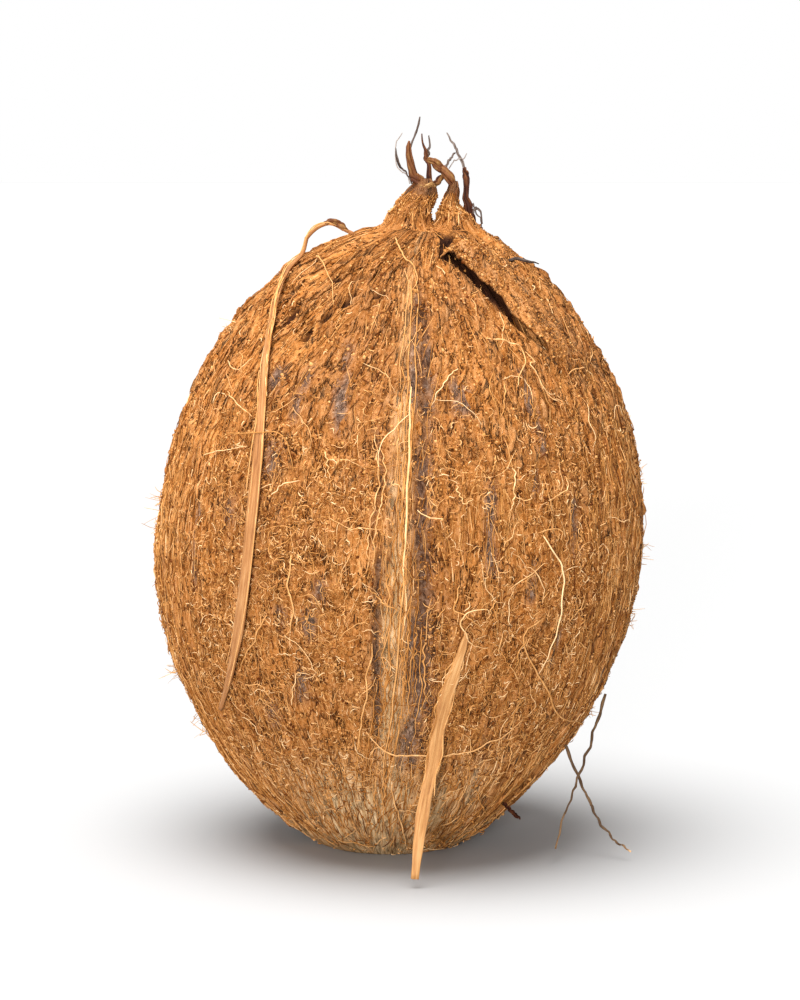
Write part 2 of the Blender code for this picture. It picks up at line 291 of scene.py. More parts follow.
def make_piece(name, points, faces, material, slot, uv=None, **values):
    """Mesh object from points (n, 3) in mm and arrays of faces, with a UV per corner and values per point."""
    mesh = bpy.data.meshes.new(name)
    corners = np.concatenate([part.ravel() for part in faces])
    sizes = np.concatenate([np.full(len(part), part.shape[1]) for part in faces])
    mesh.vertices.add(len(points))
    mesh.vertices.foreach_set("co", (points * MM).astype(np.float32).ravel())
    mesh.loops.add(len(corners))
    mesh.loops.foreach_set("vertex_index", corners.astype(np.int32))
    mesh.polygons.add(len(sizes))
    mesh.polygons.foreach_set("loop_start", np.concatenate([[0], np.cumsum(sizes)[:-1]]).astype(np.int32))
    mesh.update(calc_edges=True)
    if uv is not None:
        layer = mesh.uv_layers.new(name=BAKE_MAP)
        layer.data.foreach_set("uv", np.concatenate([part.reshape(-1, 2) for part in uv]).astype(np.float32).ravel())
    for key, value in values.items():
        kind, field = ("FLOAT_VECTOR", "vector") if value.ndim == 2 else ("FLOAT", "value")
        mesh.attributes.new(key, kind, "POINT").data.foreach_set(field, value.astype(np.float32).ravel())
    mesh.materials.append(material)
    mesh.shade_smooth()
    piece = bpy.data.objects.new(name, mesh)
    bpy.context.scene.collection.objects.link(piece)
    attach(piece, "root")
    triangles = int((sizes - 2).sum())
    print(f"{name}: {len(points)} points, {triangles} triangles")
    return piece


# %% [markdown]
# ## Materials
# Coir is matt, dry plant fibre: long ligneous cells in bundles 0.1 to 0.5 mm thick. It scatters light and
# hardly shines, so its look is all in colour, gaps and direction. Colours are written as sRGB hex, as a
# painter would pick them, and one function turns them to the linear values that the shader works with.

# %% Colours and nodes
def linear(hex_colour):
    """Linear RGBA of an sRGB hex colour: ((c + 0.055) / 1.055)^2.4, or c / 12.92 when dark."""
    parts = [int(hex_colour[start:start + 2], 16) / 255.0 for start in (1, 3, 5)]
    return (*[c / 12.92 if c <= 0.04045 else ((c + 0.055) / 1.055) ** 2.4 for c in parts], 1.0)


def add_node(tree, kind, inputs=(), output=None, stops=(), **settings):
    """Adds a node and gives it, or one of its outputs. Settings are its own values. Inputs maps socket names or
    numbers to values, hex colours or other nodes' sockets. Stops are a ramp's (place, hex colour) pairs."""
    node = tree.nodes.new(kind)
    for key, value in settings.items():
        setattr(node, key, value)
    for key, value in dict(inputs).items():
        if isinstance(value, bpy.types.NodeSocket):
            tree.links.new(value, node.inputs[key])
        else:
            node.inputs[key].default_value = linear(value) if isinstance(value, str) else value
    for number, (place, colour) in enumerate(stops):
        elements = node.color_ramp.elements
        element = elements[number] if number < 2 else elements.new(place)
        element.position, element.color = place, linear(colour)
    return node if output is None else node.outputs[output]


def new_material(name, roughness, specular):
    """A material with an emptied tree, a Principled shader and its output."""
    material = bpy.data.materials.new(name)
    material.use_nodes = True
    tree = material.node_tree
    tree.nodes.clear()
    shader = add_node(tree, "ShaderNodeBsdfPrincipled", {"Roughness": roughness, "Specular IOR Level": specular})
    add_node(tree, "ShaderNodeOutputMaterial", {"Surface": shader.outputs["BSDF"]})
    return material, tree, shader


# %% [markdown]
# ### Felted coir
# Between the loose fibres the skin itself is felt: fibres laid along the nut, broken by short gaps painted dark as
# shade, with the purplish shell showing where the husk is worn through. The grain attribute unrolls the nut into mm, so
# a cell 0.9 mm wide and 7 mm long makes strands, and rounder, twisted cells make the matted parts.
# Real coir is 0.2 mm thick. The painted gap shade is drawn about twice that wide, so that it shows at arm's length.
# A further value paints shade in the hollows under the flap, in the seam's grooves, in the cracks and under the flap.

# %% Skin material
def felted_coir():
    """Coir felt: strand and mat noise pick a fibre colour; zone values and thin cracks of painted shade darken or pale
    it.
    """
    material, tree, shader = new_material("felted_coir_husk", 0.86, 0.08)
    grain = add_node(tree, "ShaderNodeAttribute", output="Vector", attribute_name="grain")
    zone = {name: add_node(tree, "ShaderNodeAttribute", output="Fac", attribute_name=name)
            for name in ("matted", "pale", "shell", "gap")}
    noises = {}
    for name, cells_per_mm, detail, roughness, distortion in (
            ("strands", (0.9, 0.9, 0.13), 7.0, 0.68, 0.35), ("mat", (1.15, 1.15, 0.9), 7.0, 0.7, 1.2),
            ("weather", (0.05, 0.05, 0.035), 3.0, 0.6, 0.0), ("lines", (0.62, 0.62, 0.16), 4.0, 0.7, 0.8),
            ("gate", (0.33, 0.33, 0.2), 2.0, 0.6, 0.0)):
        cells = add_node(tree, "ShaderNodeMapping", {"Vector": grain, "Scale": cells_per_mm}, "Vector")
        noises[name] = add_node(tree, "ShaderNodeTexNoise", {
            "Vector": cells, "Scale": 1.0, "Detail": detail, "Roughness": roughness, "Distortion": distortion}, "Fac")
    mat_share = add_node(tree, "ShaderNodeMath", {0: zone["matted"], 1: 0.5, 2: 0.15}, 0, operation="MULTIPLY_ADD")
    body = add_node(tree, "ShaderNodeMix", {0: mat_share, 2: noises["strands"], 3: noises["mat"]}, 0)
    # Thin lines painted dark as shade: the short gaps between the fibres, where shade falls.
    off_line = add_node(tree, "ShaderNodeMath", {0: noises["lines"], 1: 0.5}, 0, operation="SUBTRACT")
    off_line = add_node(tree, "ShaderNodeMath", {0: off_line}, 0, operation="ABSOLUTE")
    line = add_node(tree, "ShaderNodeMapRange", {
        "Value": off_line, "From Min": 0.008, "From Max": 0.042, "To Min": 1.0, "To Max": 0.0}, 0)
    gate = add_node(tree, "ShaderNodeMapRange", {"Value": noises["gate"], "From Min": 0.47, "From Max": 0.56}, 0)
    crack = add_node(tree, "ShaderNodeMath", {0: line, 1: gate}, 0, operation="MULTIPLY")
    weather = add_node(tree, "ShaderNodeValToRGB", {"Fac": noises["weather"]}, 0, [
        (0.36, "#ddd2cf"), (0.64, "#fff3e4")])
    fibres = add_node(tree, "ShaderNodeValToRGB", {"Fac": body}, 0, [
        (0.28, "#481902"), (0.39, "#7d4612"), (0.47, "#b1753a"), (0.57, "#cf955c"), (0.70, "#f3c692")])
    felt = add_node(tree, "ShaderNodeValToRGB", {"Fac": noises["strands"]}, 0, [
        (0.3, "#7d5836"), (0.46, "#bb9668"), (0.64, "#e6c598")])
    shell = add_node(tree, "ShaderNodeValToRGB", {"Fac": noises["mat"]}, 0, [
        (0.32, "#3a261b"), (0.5, "#735848"), (0.66, "#a88d7a")])
    colour = add_node(tree, "ShaderNodeMix", {0: 1.0, 6: fibres, 7: weather}, 2, data_type="RGBA", blend_type="MULTIPLY")
    # Over the fibre colour go the painted shade of the thin cracks, the pale zone, bare shell, and painted shade in
    # hollows, which also darkens the lobes' tops.
    for share, layer in ((crack, "#381503"), (zone["pale"], felt), (zone["shell"], shell), (zone["gap"], "#2a110a")):
        colour = add_node(tree, "ShaderNodeMix", {0: share, 6: colour, 7: layer}, 2, data_type="RGBA")
    height = add_node(tree, "ShaderNodeMath", {0: crack, 1: -0.5, 2: body}, 0, operation="MULTIPLY_ADD")
    bump = add_node(tree, "ShaderNodeBump", {"Height": height, "Strength": 1.0, "Distance": 0.9 * MM}, "Normal")
    tree.links.new(colour, shader.inputs["Base Color"])
    tree.links.new(bump, shader.inputs["Normal"])
    return material


COIR_FELT = felted_coir()

# %% [markdown]
# ### Zones
# Where the husk is matted, where it is pale, where the shell shows: each is a value from 0 to 1 worked out
# from the place on the nut. The streaks of bare shell are few, so they are a short list: azimuth in degrees,
# lowest and highest height in mm, and half width in degrees.

# %% Zone values
SHELL_STREAKS = [
    (20.6, 70.0, 89.0, 1.3), (44.8, 72.0, 85.0, 1.2), (30.9, 63.0, 72.0, 1.0), (40.3, 46.0, 56.0, 1.0),
    (36.4, 94.0, 104.0, 1.2), (34.5, 103.0, 112.0, 1.6), (32.7, 86.0, 92.0, 1.0), (-33.1, 90.0, 98.0, 2.0),
    (-18.4, 63.0, 69.0, 1.4), (-19.6, 56.0, 62.0, 1.6), (-26.6, 58.0, 62.0, 1.6), (-54.6, 78.0, 83.0, 1.0),
    (-55.5, 63.0, 75.0, 1.0), (-43.2, 79.0, 84.0, 1.2), (-33.4, 33.0, 41.0, 1.6), (-22.8, 41.0, 48.0, 1.8),
    (4.6, 26.0, 62.0, 2.6), (-39.4, 107.0, 113.0, 2.2), (-28.0, 108.0, 113.0, 1.4), (-30.2, 102.0, 108.0, 1.6),
    (-17.2, 99.0, 112.0, 2.0), (14.5, 103.0, 111.0, 2.4), (2.6, 104.0, 127.0, 1.3), (6.3, 103.0, 118.0, 1.1),
    (-17.5, 113.0, 118.0, 1.4), (96.0, 52.0, 78.0, 1.6), (133.0, 70.0, 96.0, 1.8), (-118.0, 60.0, 88.0, 1.8),
    (170.0, 44.0, 70.0, 1.6), (-152.0, 82.0, 104.0, 1.6), (71.0, 34.0, 50.0, 1.4), (-84.0, 40.0, 58.0, 1.4),
]


def shell_and_groove_shade_share(turn, climb):
    """How much bare shell shows, the strongest of the streaks broken up by noise, plus painted shade in the seam's
    grooves.
    """
    azimuth, height = degrees_of(turn), height_at(climb)
    share = np.zeros_like(azimuth)
    for centre, low, high, half_width in SHELL_STREAKS:
        ends = ease(low - 2.0, low + 2.0, height) * (1.0 - ease(high - 2.0, high + 2.0, height))
        wander = centre + 0.8 * np.sin(climb / 6.0 + centre)
        share = np.maximum(share, hump(degrees_of(turn - np.radians(wander)), 0.0, 1.2 * half_width) * ends)
    ragged = 0.75 + 0.45 * noise(turn, climb, 200, 2.6, 11)
    # The grooves beside the seam take the shell's dark colour: painted shade in the recess.
    return np.clip(np.maximum(1.15 * share, 0.95 * grooves(turn, climb)) * ragged, 0.0, 0.95)


def pale_and_bounce_light_share(turn, climb):
    """Weathered straw grey down the seams; on the front foot and round the bottom, pale colour plus painted bounce
    light.
    """
    azimuth, height = seam_azimuth(turn), height_at(climb)
    ragged = 0.85 + 0.5 * noise(turn, climb, 150, 6.0, 12)
    band = hump(azimuth, -0.8, 2.4 + 1.8 * (1.0 - ease(40.0, 80.0, height))) * (1.0 - 0.5 * ease(70.0, 84.0, height))
    band = band * (1.0 - 0.4 * ease(100.0, 125.0, height))
    # Partly painted light: the front foot and the bottom are made paler to stand in for light bounced up from the
    # floor.
    foot = 1.15 * hump(degrees_of(turn), -8.0, 38.0) * (1.0 - ease(16.0, 34.0, height))
    under = 0.6 * (1.0 - ease(2.0, 14.0, height))
    return np.clip(np.maximum(np.maximum(band, foot), under) * ragged, 0.0, 0.9)


def matted_share(turn, climb):
    """1 where the fibres curl in a mat, 0 where they lie straight: matted belly, straight flanks and shoulders."""
    azimuth, height = degrees_of(turn), height_at(climb)
    belly = ease(14.0, 30.0, height) * (1.0 - ease(88.0, 116.0, height))
    flank = ease(46.0, 62.0, np.abs(azimuth + 2.0)) * (1.0 - ease(100.0, 120.0, np.abs(azimuth)))
    patches = 0.85 + 0.45 * noise(turn, climb, 12, 22.0, 13)
    return np.clip(belly * (1.0 - 0.85 * flank) * patches, 0.0, 1.0)


def crumbly_share(turn, climb):
    """Rough pith without curls: the shoulders all round, strongest at the front."""
    return ease(84.0, 104.0, height_at(climb)) * (0.55 + 0.25 * hump(degrees_of(turn), 10.0, 60.0))


# %% [markdown]
# ## The skin
# One closed grid, wrapped round the nut and gathered to a point at the middle of the flat spot and of the
# stump. Its columns crowd towards the front, where the seam and the flap need the finest relief, by turning
# the even angle p into p - 0.4 sin p.

# %% Skin mesh
COLUMNS, ROWS, CROWDING = 440, 217, 0.4


def make_skin():
    """Grid of columns by rows plus two poles; quads between rows, triangles to the poles."""
    phase = np.arange(COLUMNS + 1) * 2.0 * np.pi / COLUMNS
    turns = phase - CROWDING * np.sin(phase)
    climbs = np.linspace(CLIMB[0] + 1.0, TOP_CLIMB - 1.0, ROWS)
    turn, climb = [grid.ravel() for grid in np.meshgrid(turns[:-1], climbs)]
    turn = np.append(turn, [0.0, 0.0])
    climb = np.append(climb, [CLIMB[0], TOP_CLIMB])
    points = husk_point(turn, climb)
    low_pole, high_pole = COLUMNS * ROWS, COLUMNS * ROWS + 1
    column, row = np.meshgrid(np.arange(COLUMNS), np.arange(ROWS - 1))
    corner = (row * COLUMNS + column).ravel()
    beside = (row * COLUMNS + (column + 1) % COLUMNS).ravel()
    quads = np.stack([corner, beside, beside + COLUMNS, corner + COLUMNS], axis=1)
    first = np.arange(COLUMNS)
    second = (first + 1) % COLUMNS
    last = (ROWS - 1) * COLUMNS
    foot = np.stack([second, first, np.full(COLUMNS, low_pole)], axis=1)
    cap = np.stack([last + first, last + second, np.full(COLUMNS, high_pole)], axis=1)
    u, v = column.ravel() / COLUMNS, (row.ravel() + 1.0) / (ROWS + 1.0)
    du, dv = 1.0 / COLUMNS, 1.0 / (ROWS + 1.0)
    quad_uv = np.stack([u, v, u + du, v, u + du, v + dv, u, v + dv], axis=1)
    x = first / COLUMNS
    foot_uv = np.stack([x + du, 0 * x + dv, x, 0 * x + dv, x + 0.5 * du, 0 * x], axis=1)
    cap_uv = np.stack([x, 0 * x + 1.0 - dv, x + du, 0 * x + 1.0 - dv, x + 0.5 * du, 0 * x + 1.0], axis=1)
    leant = turn - fibre_lean(turn, climb) * (climb - climb_at(112.0)) / 34.0
    grain = np.stack([GIRTH_RADIUS * np.sin(leant), GIRTH_RADIUS * np.cos(leant), climb], axis=1)
    # Painted shade: darkens the hollow under the flap, the grooves beside the seams and the cracks.
    gap = 1.0 * flap_gap(turn, climb) + 0.45 * grooves(turn, climb) + 1.1 * cracks(turn, climb)
    skin = make_piece(
        "husk_skin", points, [quads, foot, cap], COIR_FELT, "coir_husk", [quad_uv, foot_uv, cap_uv],
        grain=grain, matted=np.maximum(matted_share(turn, climb), crumbly_share(turn, climb)),
        pale=pale_and_bounce_light_share(turn, climb),
        shell=shell_and_groove_shade_share(turn, climb), gap=np.clip(gap, 0.0, 0.95),
    )
    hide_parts("coconut")
    return skin


husk_skin = make_skin()

# %% [markdown]
# ## Loose fibres
# Coir fibres are what makes a coconut look like one. A hair system would vanish from the exported model, so
# each fibre here is a real tube: a path of a few points with a three-sided ring carried along it. Thousands
# of paths are worked out together, as arrays of m fibres by n points, and 5,000 fibres share one mesh.

# %% Tubes along many paths
FIBRES_PER_PIECE = 4800


def frames_along(paths, outward):
    """Unit directions across each path: side = along x outward, up = side x along."""
    along = np.gradient(paths, axis=-2)
    side = np.cross(along, outward)
    side /= np.linalg.norm(side, axis=-1, keepdims=True) + 1e-9
    up = np.cross(side, along)
    return side, up / (np.linalg.norm(up, axis=-1, keepdims=True) + 1e-9)


def rings_along(paths, outward, radius, sides, flat=1.0):
    """Rings of points: path + radius (cos a side + flat sin a up)."""
    side, up = frames_along(paths, outward)
    angle = (np.arange(sides) + 0.5) * 2.0 * np.pi / sides
    across = np.cos(angle)[:, None] * side[:, :, None, :] + flat * np.sin(angle)[:, None] * up[:, :, None, :]
    return paths[:, :, None, :] + radius[:, :, None, None] * across


def tube_faces(count, rings, sides):
    """Corner numbers of the tubes' side quads and of their two end caps."""
    base = (np.arange(count) * rings * sides)[:, None, None]
    ring = (np.arange(rings - 1) * sides)[None, :, None]
    here = np.arange(sides)[None, None, :]
    there = (here + 1) % sides
    quads = np.stack([base + ring + here, base + ring + sides + here, base + ring + sides + there,
                      base + ring + there], axis=-1).reshape(-1, 4)
    start = base[:, 0] + np.arange(sides)
    end = base[:, 0] + (rings - 1) * sides + np.arange(sides)[::-1]
    return [quads, start, end]


def tube_cells(count, rings, sides):
    """UVs that give each tube its own cell of a square sheet: round the tube in u, along it in v."""
    across = int(np.ceil(np.sqrt(count)))
    corner = np.stack([np.arange(count) % across, np.arange(count) // across], axis=-1)
    k = np.arange(sides)[None, :] / sides
    j = 0.08 + 0.84 * np.arange(rings - 1)[:, None] / (rings - 1)
    dk, dj = 1.0 / sides, 0.84 / (rings - 1)
    cell = np.stack([np.stack([k + 0 * j, j + 0 * k], -1), np.stack([k + 0 * j, j + dj + 0 * k], -1),
                     np.stack([k + dk + 0 * j, j + dj + 0 * k], -1), np.stack([k + dk + 0 * j, j + 0 * k], -1)], -2)
    turn = np.arange(sides) * 2.0 * np.pi / sides
    rim = np.stack([0.5 + 0.45 * np.cos(turn), 0.04 + 0.03 * np.sin(turn)], axis=-1)
    cells = [cell.reshape(1, -1, 2), rim[None], (rim + (0.0, 0.92))[None]]
    return [(corner[:, None, :] + 0.06 + 0.88 * part) / across for part in cells]


def make_tubes(name, paths, outward, radius, material, slot, sides=3, flat=1.0, **values):
    """One piece of many tubes; values are given per fibre (m,) or per ring (m, n)."""
    count, rings = paths.shape[:2]
    points = rings_along(paths, outward, np.broadcast_to(radius, (count, rings)), sides, flat)
    spread = {}
    for key, value in values.items():
        per_ring = np.broadcast_to(value if value.ndim == 2 else value[:, None], (count, rings))
        spread[key] = np.repeat(per_ring.ravel(), sides)
    return make_piece(name, points.reshape(-1, 3), tube_faces(count, rings, sides), material, slot,
                      tube_cells(count, rings, sides), **spread)


# %% [markdown]
# ### The colour of a fibre
# A single coir fibre is golden to straw brown, and darker where it is still caked with pith. Each one keeps
# its own tone from 0 to 1, and the material turns tone into colour, with fine noise so that none is plain.

# %% Fibre material
def coir_fibre(name, stops, roughness=0.72):
    """Fibre finish: ramp on the tone attribute shifted by fine noise, and a slight bump from the same noise."""
    material, tree, shader = new_material(name, roughness, 0.12)
    place = add_node(tree, "ShaderNodeTexCoord", output="Object")
    cells = add_node(tree, "ShaderNodeMapping", {"Vector": place, "Scale": (900.0, 900.0, 420.0)}, "Vector")
    speckle = add_node(tree, "ShaderNodeTexNoise", {"Vector": cells, "Scale": 1.0, "Detail": 3.0, "Roughness": 0.6}, "Fac")
    tone = add_node(tree, "ShaderNodeAttribute", output="Fac", attribute_name="tone")
    centred = add_node(tree, "ShaderNodeMath", {0: speckle, 1: 0.5}, 0, operation="SUBTRACT")
    shifted = add_node(tree, "ShaderNodeMath", {0: centred, 1: 0.7, 2: tone}, 0, operation="MULTIPLY_ADD")
    colour = add_node(tree, "ShaderNodeValToRGB", {"Fac": shifted}, 0, stops)
    bump = add_node(tree, "ShaderNodeBump", {"Height": speckle, "Strength": 0.5, "Distance": 0.15 * MM}, "Normal")
    tree.links.new(colour, shader.inputs["Base Color"])
    tree.links.new(bump, shader.inputs["Normal"])
    return material


COIR_FIBRE = coir_fibre("dry_coir_fibre", [
    (0.0, "#5a2905"), (0.25, "#915822"), (0.5, "#bd8346"), (0.75, "#dba56a"), (1.0, "#f4cc98"),
])

# %% [markdown]
# ### Curls, strands and wisps
# The belly is a mat of short curled fibres; on the flanks and shoulders they lie straight and end to end
# along the nut; and a few long ones stand off everywhere. All are walks over the husk: a heading that starts
# somewhere, bends at a steady rate and wavers, summed into steps, while the lift rises from inside the skin.

# %% Walks over the husk
def scatter(rng, count, share, neck=135.0):
    """Random places, even by area, kept with the chance that share gives; few in hollows or above the neck height."""
    weight = np.interp(CLIMB, CLIMB, RADIUS) * (CLIMB > 0.5) * (CLIMB < TOP_CLIMB - 9.0)
    total = np.cumsum(weight) / weight.sum()
    turn = rng.uniform(-np.pi, np.pi, 8 * count)
    climb = np.interp(rng.uniform(0.0, 1.0, 8 * count), total, CLIMB)
    bare = np.maximum(ease(0.1, 0.5, flap_gap(turn, climb)), 0.9 * shell_and_groove_shade_share(turn, climb))
    bare = np.maximum(np.maximum(bare, cracks(turn, climb)), ease(neck - 2.0, neck + 1.0, height_at(climb)))
    chance = share(turn, climb) * (1.0 - 0.97 * bare)
    kept = np.flatnonzero(rng.uniform(0.0, 1.0, 8 * count) < chance)[:count]
    return turn[kept], climb[kept]


def walks(rng, turn, climb, length, heading, bend, waver, lift, points=7):
    """Paths that start at a place and walk length mm: heading (0 = up the nut) + bend s + a random walk of kinks.

    The lift in mm is lift times a lopsided arch, from just inside the skin to a free or half sunk tip.
    """
    count = len(turn)
    s = np.linspace(0.0, 1.0, points)[None, :]
    angle = heading[:, None] + bend[:, None] * (s - 0.5) + np.cumsum(rng.normal(0.0, waver, (count, points)), axis=1)
    step = length[:, None] / (points - 1)
    east, north = np.cumsum(step * np.sin(angle), axis=1), np.cumsum(step * np.cos(angle), axis=1)
    walk_climb = np.clip(climb[:, None] + north, 0.3, TOP_CLIMB - 6.0)
    walk_turn = turn[:, None] + east / np.interp(walk_climb, CLIMB, RADIUS)
    peak = rng.uniform(0.35, 1.0, (count, 1))
    arch = np.where(s < peak, np.sin(0.5 * np.pi * s / peak), 1.0 - rng.uniform(0.0, 0.9, (count, 1)) * (s - peak))
    rise = lift[:, None] * arch - 0.12
    room = 0.05 + 0.5 * walk_climb
    return husk_point(walk_turn, walk_climb, np.minimum(rise, room)), husk_normal(walk_turn, walk_climb)


def in_pieces(name, paths, outward, radius, tone):
    """Splits fibres into pieces that stay small enough to export whole."""
    for number, start in enumerate(range(0, len(paths), FIBRES_PER_PIECE), 1):
        part = slice(start, start + FIBRES_PER_PIECE)
        make_tubes(f"{name}_{number}", paths[part], outward[part], radius[part], COIR_FIBRE, "coir_husk",
                   tone=tone[part])


def taper(count_points, blunt):
    """Radius share along a fibre: full in the middle and blunt at the ends."""
    s = np.linspace(-1.0, 1.0, count_points)
    return blunt + (1.0 - blunt) * np.sqrt(1.0 - 0.98 * s ** 2)


# %% Curled mat on the belly
def ragged_share(turn, climb, seed):
    """Chance from 0.2 to 1 in patches of a few mm, so that the mat has thick and worn places."""
    return np.clip(0.72 + 0.6 * noise(turn, climb, 60, 6.0, seed), 0.15, 1.0)


def clear_seam(turn, climb):
    """0 on the pale cords of the seam, 1 away from them."""
    return 1.0 - 0.9 * hump(seam_azimuth(turn), -0.3, 4.0)


def grow_curls(count, seed):
    """Short kinked curls, 1.4 to 5 mm, in every direction."""
    rng = np.random.default_rng(seed)
    turn, climb = scatter(
        rng, count, lambda t, c: (0.05 + 0.95 * matted_share(t, c)) * ragged_share(t, c, 21) * clear_seam(t, c))
    found = len(turn)
    length = 1.3 + 4.2 * rng.beta(1.1, 3.6, found)
    paths, outward = walks(rng, turn, climb, length, rng.uniform(-np.pi, np.pi, found), rng.normal(0.0, 1.6, found),
                           0.55, 0.2 + 0.7 * rng.beta(1.4, 3.0, found), points=6)
    radius = rng.uniform(0.07, 0.14, (found, 1)) * taper(6, 0.5)
    in_pieces("coir_curls", paths, outward, radius, np.clip(rng.normal(0.45, 0.26, found), 0.0, 1.0))


grow_curls(18500, 31)


# %% Straight strands on flanks and shoulders
def straight_share(turn, climb):
    """Strands lie thick on the flanks, thinner in the mat and thin under the plates of the shoulder."""
    shoulder = ease(92.0, 112.0, height_at(climb)) * (1.0 - ease(128.0, 138.0, height_at(climb)))
    loose = (1.0 - 0.75 * matted_share(turn, climb)) * (1.0 - 0.6 * shoulder) * (1.0 - 0.6 * crumbly_share(turn, climb))
    return loose * ragged_share(turn, climb, 22)


def grow_strands(count, seed):
    """Strands of 5 to 14 mm that follow the nut, half sunk in the skin."""
    rng = np.random.default_rng(seed)
    turn, climb = scatter(rng, count, straight_share)
    found = len(turn)
    length = 4.5 + 9.0 * rng.beta(1.6, 2.4, found)
    heading = rng.normal(0.0, 0.14, found) + fibre_lean(turn, climb)
    paths, outward = walks(rng, turn, climb, length, heading, rng.normal(0.0, 0.3, found),
                           0.07, 0.14 + 0.25 * rng.beta(1.3, 3.0, found), points=6)
    radius = rng.uniform(0.07, 0.16, (found, 1)) * taper(6, 0.35)
    in_pieces("coir_strands", paths, outward, radius, np.clip(rng.normal(0.4, 0.19, found), 0.0, 1.0))


grow_strands(9500, 32)


# %% Long wisps that stand off
def grow_wisps(count, seed):
    """Long thin loose fibres of 7 to 20 mm that lift clear of the husk."""
    rng = np.random.default_rng(seed)
    turn, climb = scatter(rng, count, lambda t, c: 0.25 + 0.75 * matted_share(t, c))
    found = len(turn)
    length = 6.5 + 13.0 * rng.beta(1.1, 3.2, found)
    paths, outward = walks(rng, turn, climb, length, rng.normal(0.0, 0.8, found), rng.normal(0.0, 1.2, found),
                           0.36, 0.4 + 1.2 * rng.beta(1.2, 3.0, found), points=10)
    radius = rng.uniform(0.08, 0.15, (found, 1)) * taper(10, 0.5)
    make_tubes("coir_wisps", paths, outward, radius, COIR_FIBRE, "coir_husk",
               tone=np.clip(rng.normal(0.72, 0.14, found), 0.0, 1.0))


grow_wisps(300, 33)

# %% [markdown]
# ### Crumbs of pith
# Between its fibres coir holds pith, which dries to crumbs of half a millimetre. They give the husk its rough,
# grainy face and its dark pits. Each is an octahedron, stretched, turned and pressed half into the skin: eight
# faces are enough at this size, and tens of thousands of them are still light.

# %% Crumbs
CRUMBS_PER_PIECE = 12000
OCTAHEDRON = np.array([(1, 0, 0), (0, 1, 0), (-1, 0, 0), (0, -1, 0), (0, 0, 1), (0, 0, -1)], float)
OCTAHEDRON_FACES = np.array([(0, 1, 4), (1, 2, 4), (2, 3, 4), (3, 0, 4), (1, 0, 5), (2, 1, 5), (3, 2, 5), (0, 3, 5)])


def crumb_cells(count):
    """UVs: a square cell for each crumb, with its eight faces side by side in two rows."""
    across = int(np.ceil(np.sqrt(count)))
    corner = np.stack([np.arange(count) % across, np.arange(count) // across], axis=-1)[:, None, None, :]
    face = np.stack([np.arange(8) % 4 / 4.0, np.arange(8) // 4 / 2.0], axis=-1)[None, :, None, :]
    triangle = np.array([(0.02, 0.04), (0.23, 0.04), (0.12, 0.46)])[None, None]
    return [(corner + 0.04 + 0.92 * (face + triangle)) / across]


def make_crumbs(name, centres, sizes, turns, tone):
    """Octahedra at centres (m, 3), stretched by sizes (m, 3) in mm and turned by turns (m, 3, 3)."""
    count = len(centres)
    points = centres[:, None, :] + np.einsum("mij,mkj->mki", turns, OCTAHEDRON[None] * sizes[:, None, :])
    faces = (np.arange(count) * 6)[:, None, None] + OCTAHEDRON_FACES[None]
    return make_piece(name, points.reshape(-1, 3), [faces.reshape(-1, 3)], COIR_FIBRE, "coir_husk",
                      crumb_cells(count), tone=np.repeat(tone, 6))


def random_turns(rng, count):
    """Rotation matrices from random unit quaternions."""
    q = rng.normal(size=(count, 4))
    w, x, y, z = (q / np.linalg.norm(q, axis=1, keepdims=True)).T
    return np.stack([
        np.stack([1 - 2 * (y * y + z * z), 2 * (x * y - w * z), 2 * (x * z + w * y)], -1),
        np.stack([2 * (x * y + w * z), 1 - 2 * (x * x + z * z), 2 * (y * z - w * x)], -1),
        np.stack([2 * (x * z - w * y), 2 * (y * z + w * x), 1 - 2 * (x * x + y * y)], -1),
    ], axis=1)


def sow_crumbs(count, seed):
    """Crumbs of 0.3 to 1.3 mm, thick on the belly and the shoulders, thin on the straight flanks."""
    rng = np.random.default_rng(seed)

    def share(turn, climb):
        zone = np.maximum(matted_share(turn, climb), crumbly_share(turn, climb))
        return (0.18 + 0.82 * zone) * ragged_share(turn, climb, 23) * clear_seam(turn, climb)

    turn, climb = scatter(rng, count, share, neck=138.5)
    found = len(turn)
    sizes = rng.uniform(0.5, 1.7, (found, 3)) * (0.16 + 0.34 * rng.beta(1.1, 3.4, (found, 1)))
    centres = husk_point(turn, climb, rng.uniform(-0.12, 0.14, found))
    turns = random_turns(rng, found)
    tone = np.clip(rng.normal(0.36, 0.22, found), 0.0, 0.64)
    for number, start in enumerate(range(0, found, CRUMBS_PER_PIECE), 1):
        part = slice(start, start + CRUMBS_PER_PIECE)
        make_crumbs(f"pith_crumbs_{number}", centres[part], sizes[part], turns[part], tone[part])


sow_crumbs(40000, 34)

# %% [markdown]
# ## The flap and the plates
# On the right shoulder a sheet of husk has come loose: its lower edge stands off by 2 mm over a hollow, darkened with
# painted shade.
# Smaller plates flake off all round the shoulders. Places on the husk are pairs of azimuth in degrees from the
# front and height in mm. A Catmull-Rom curve runs smoothly through given ones, and needs no handles.

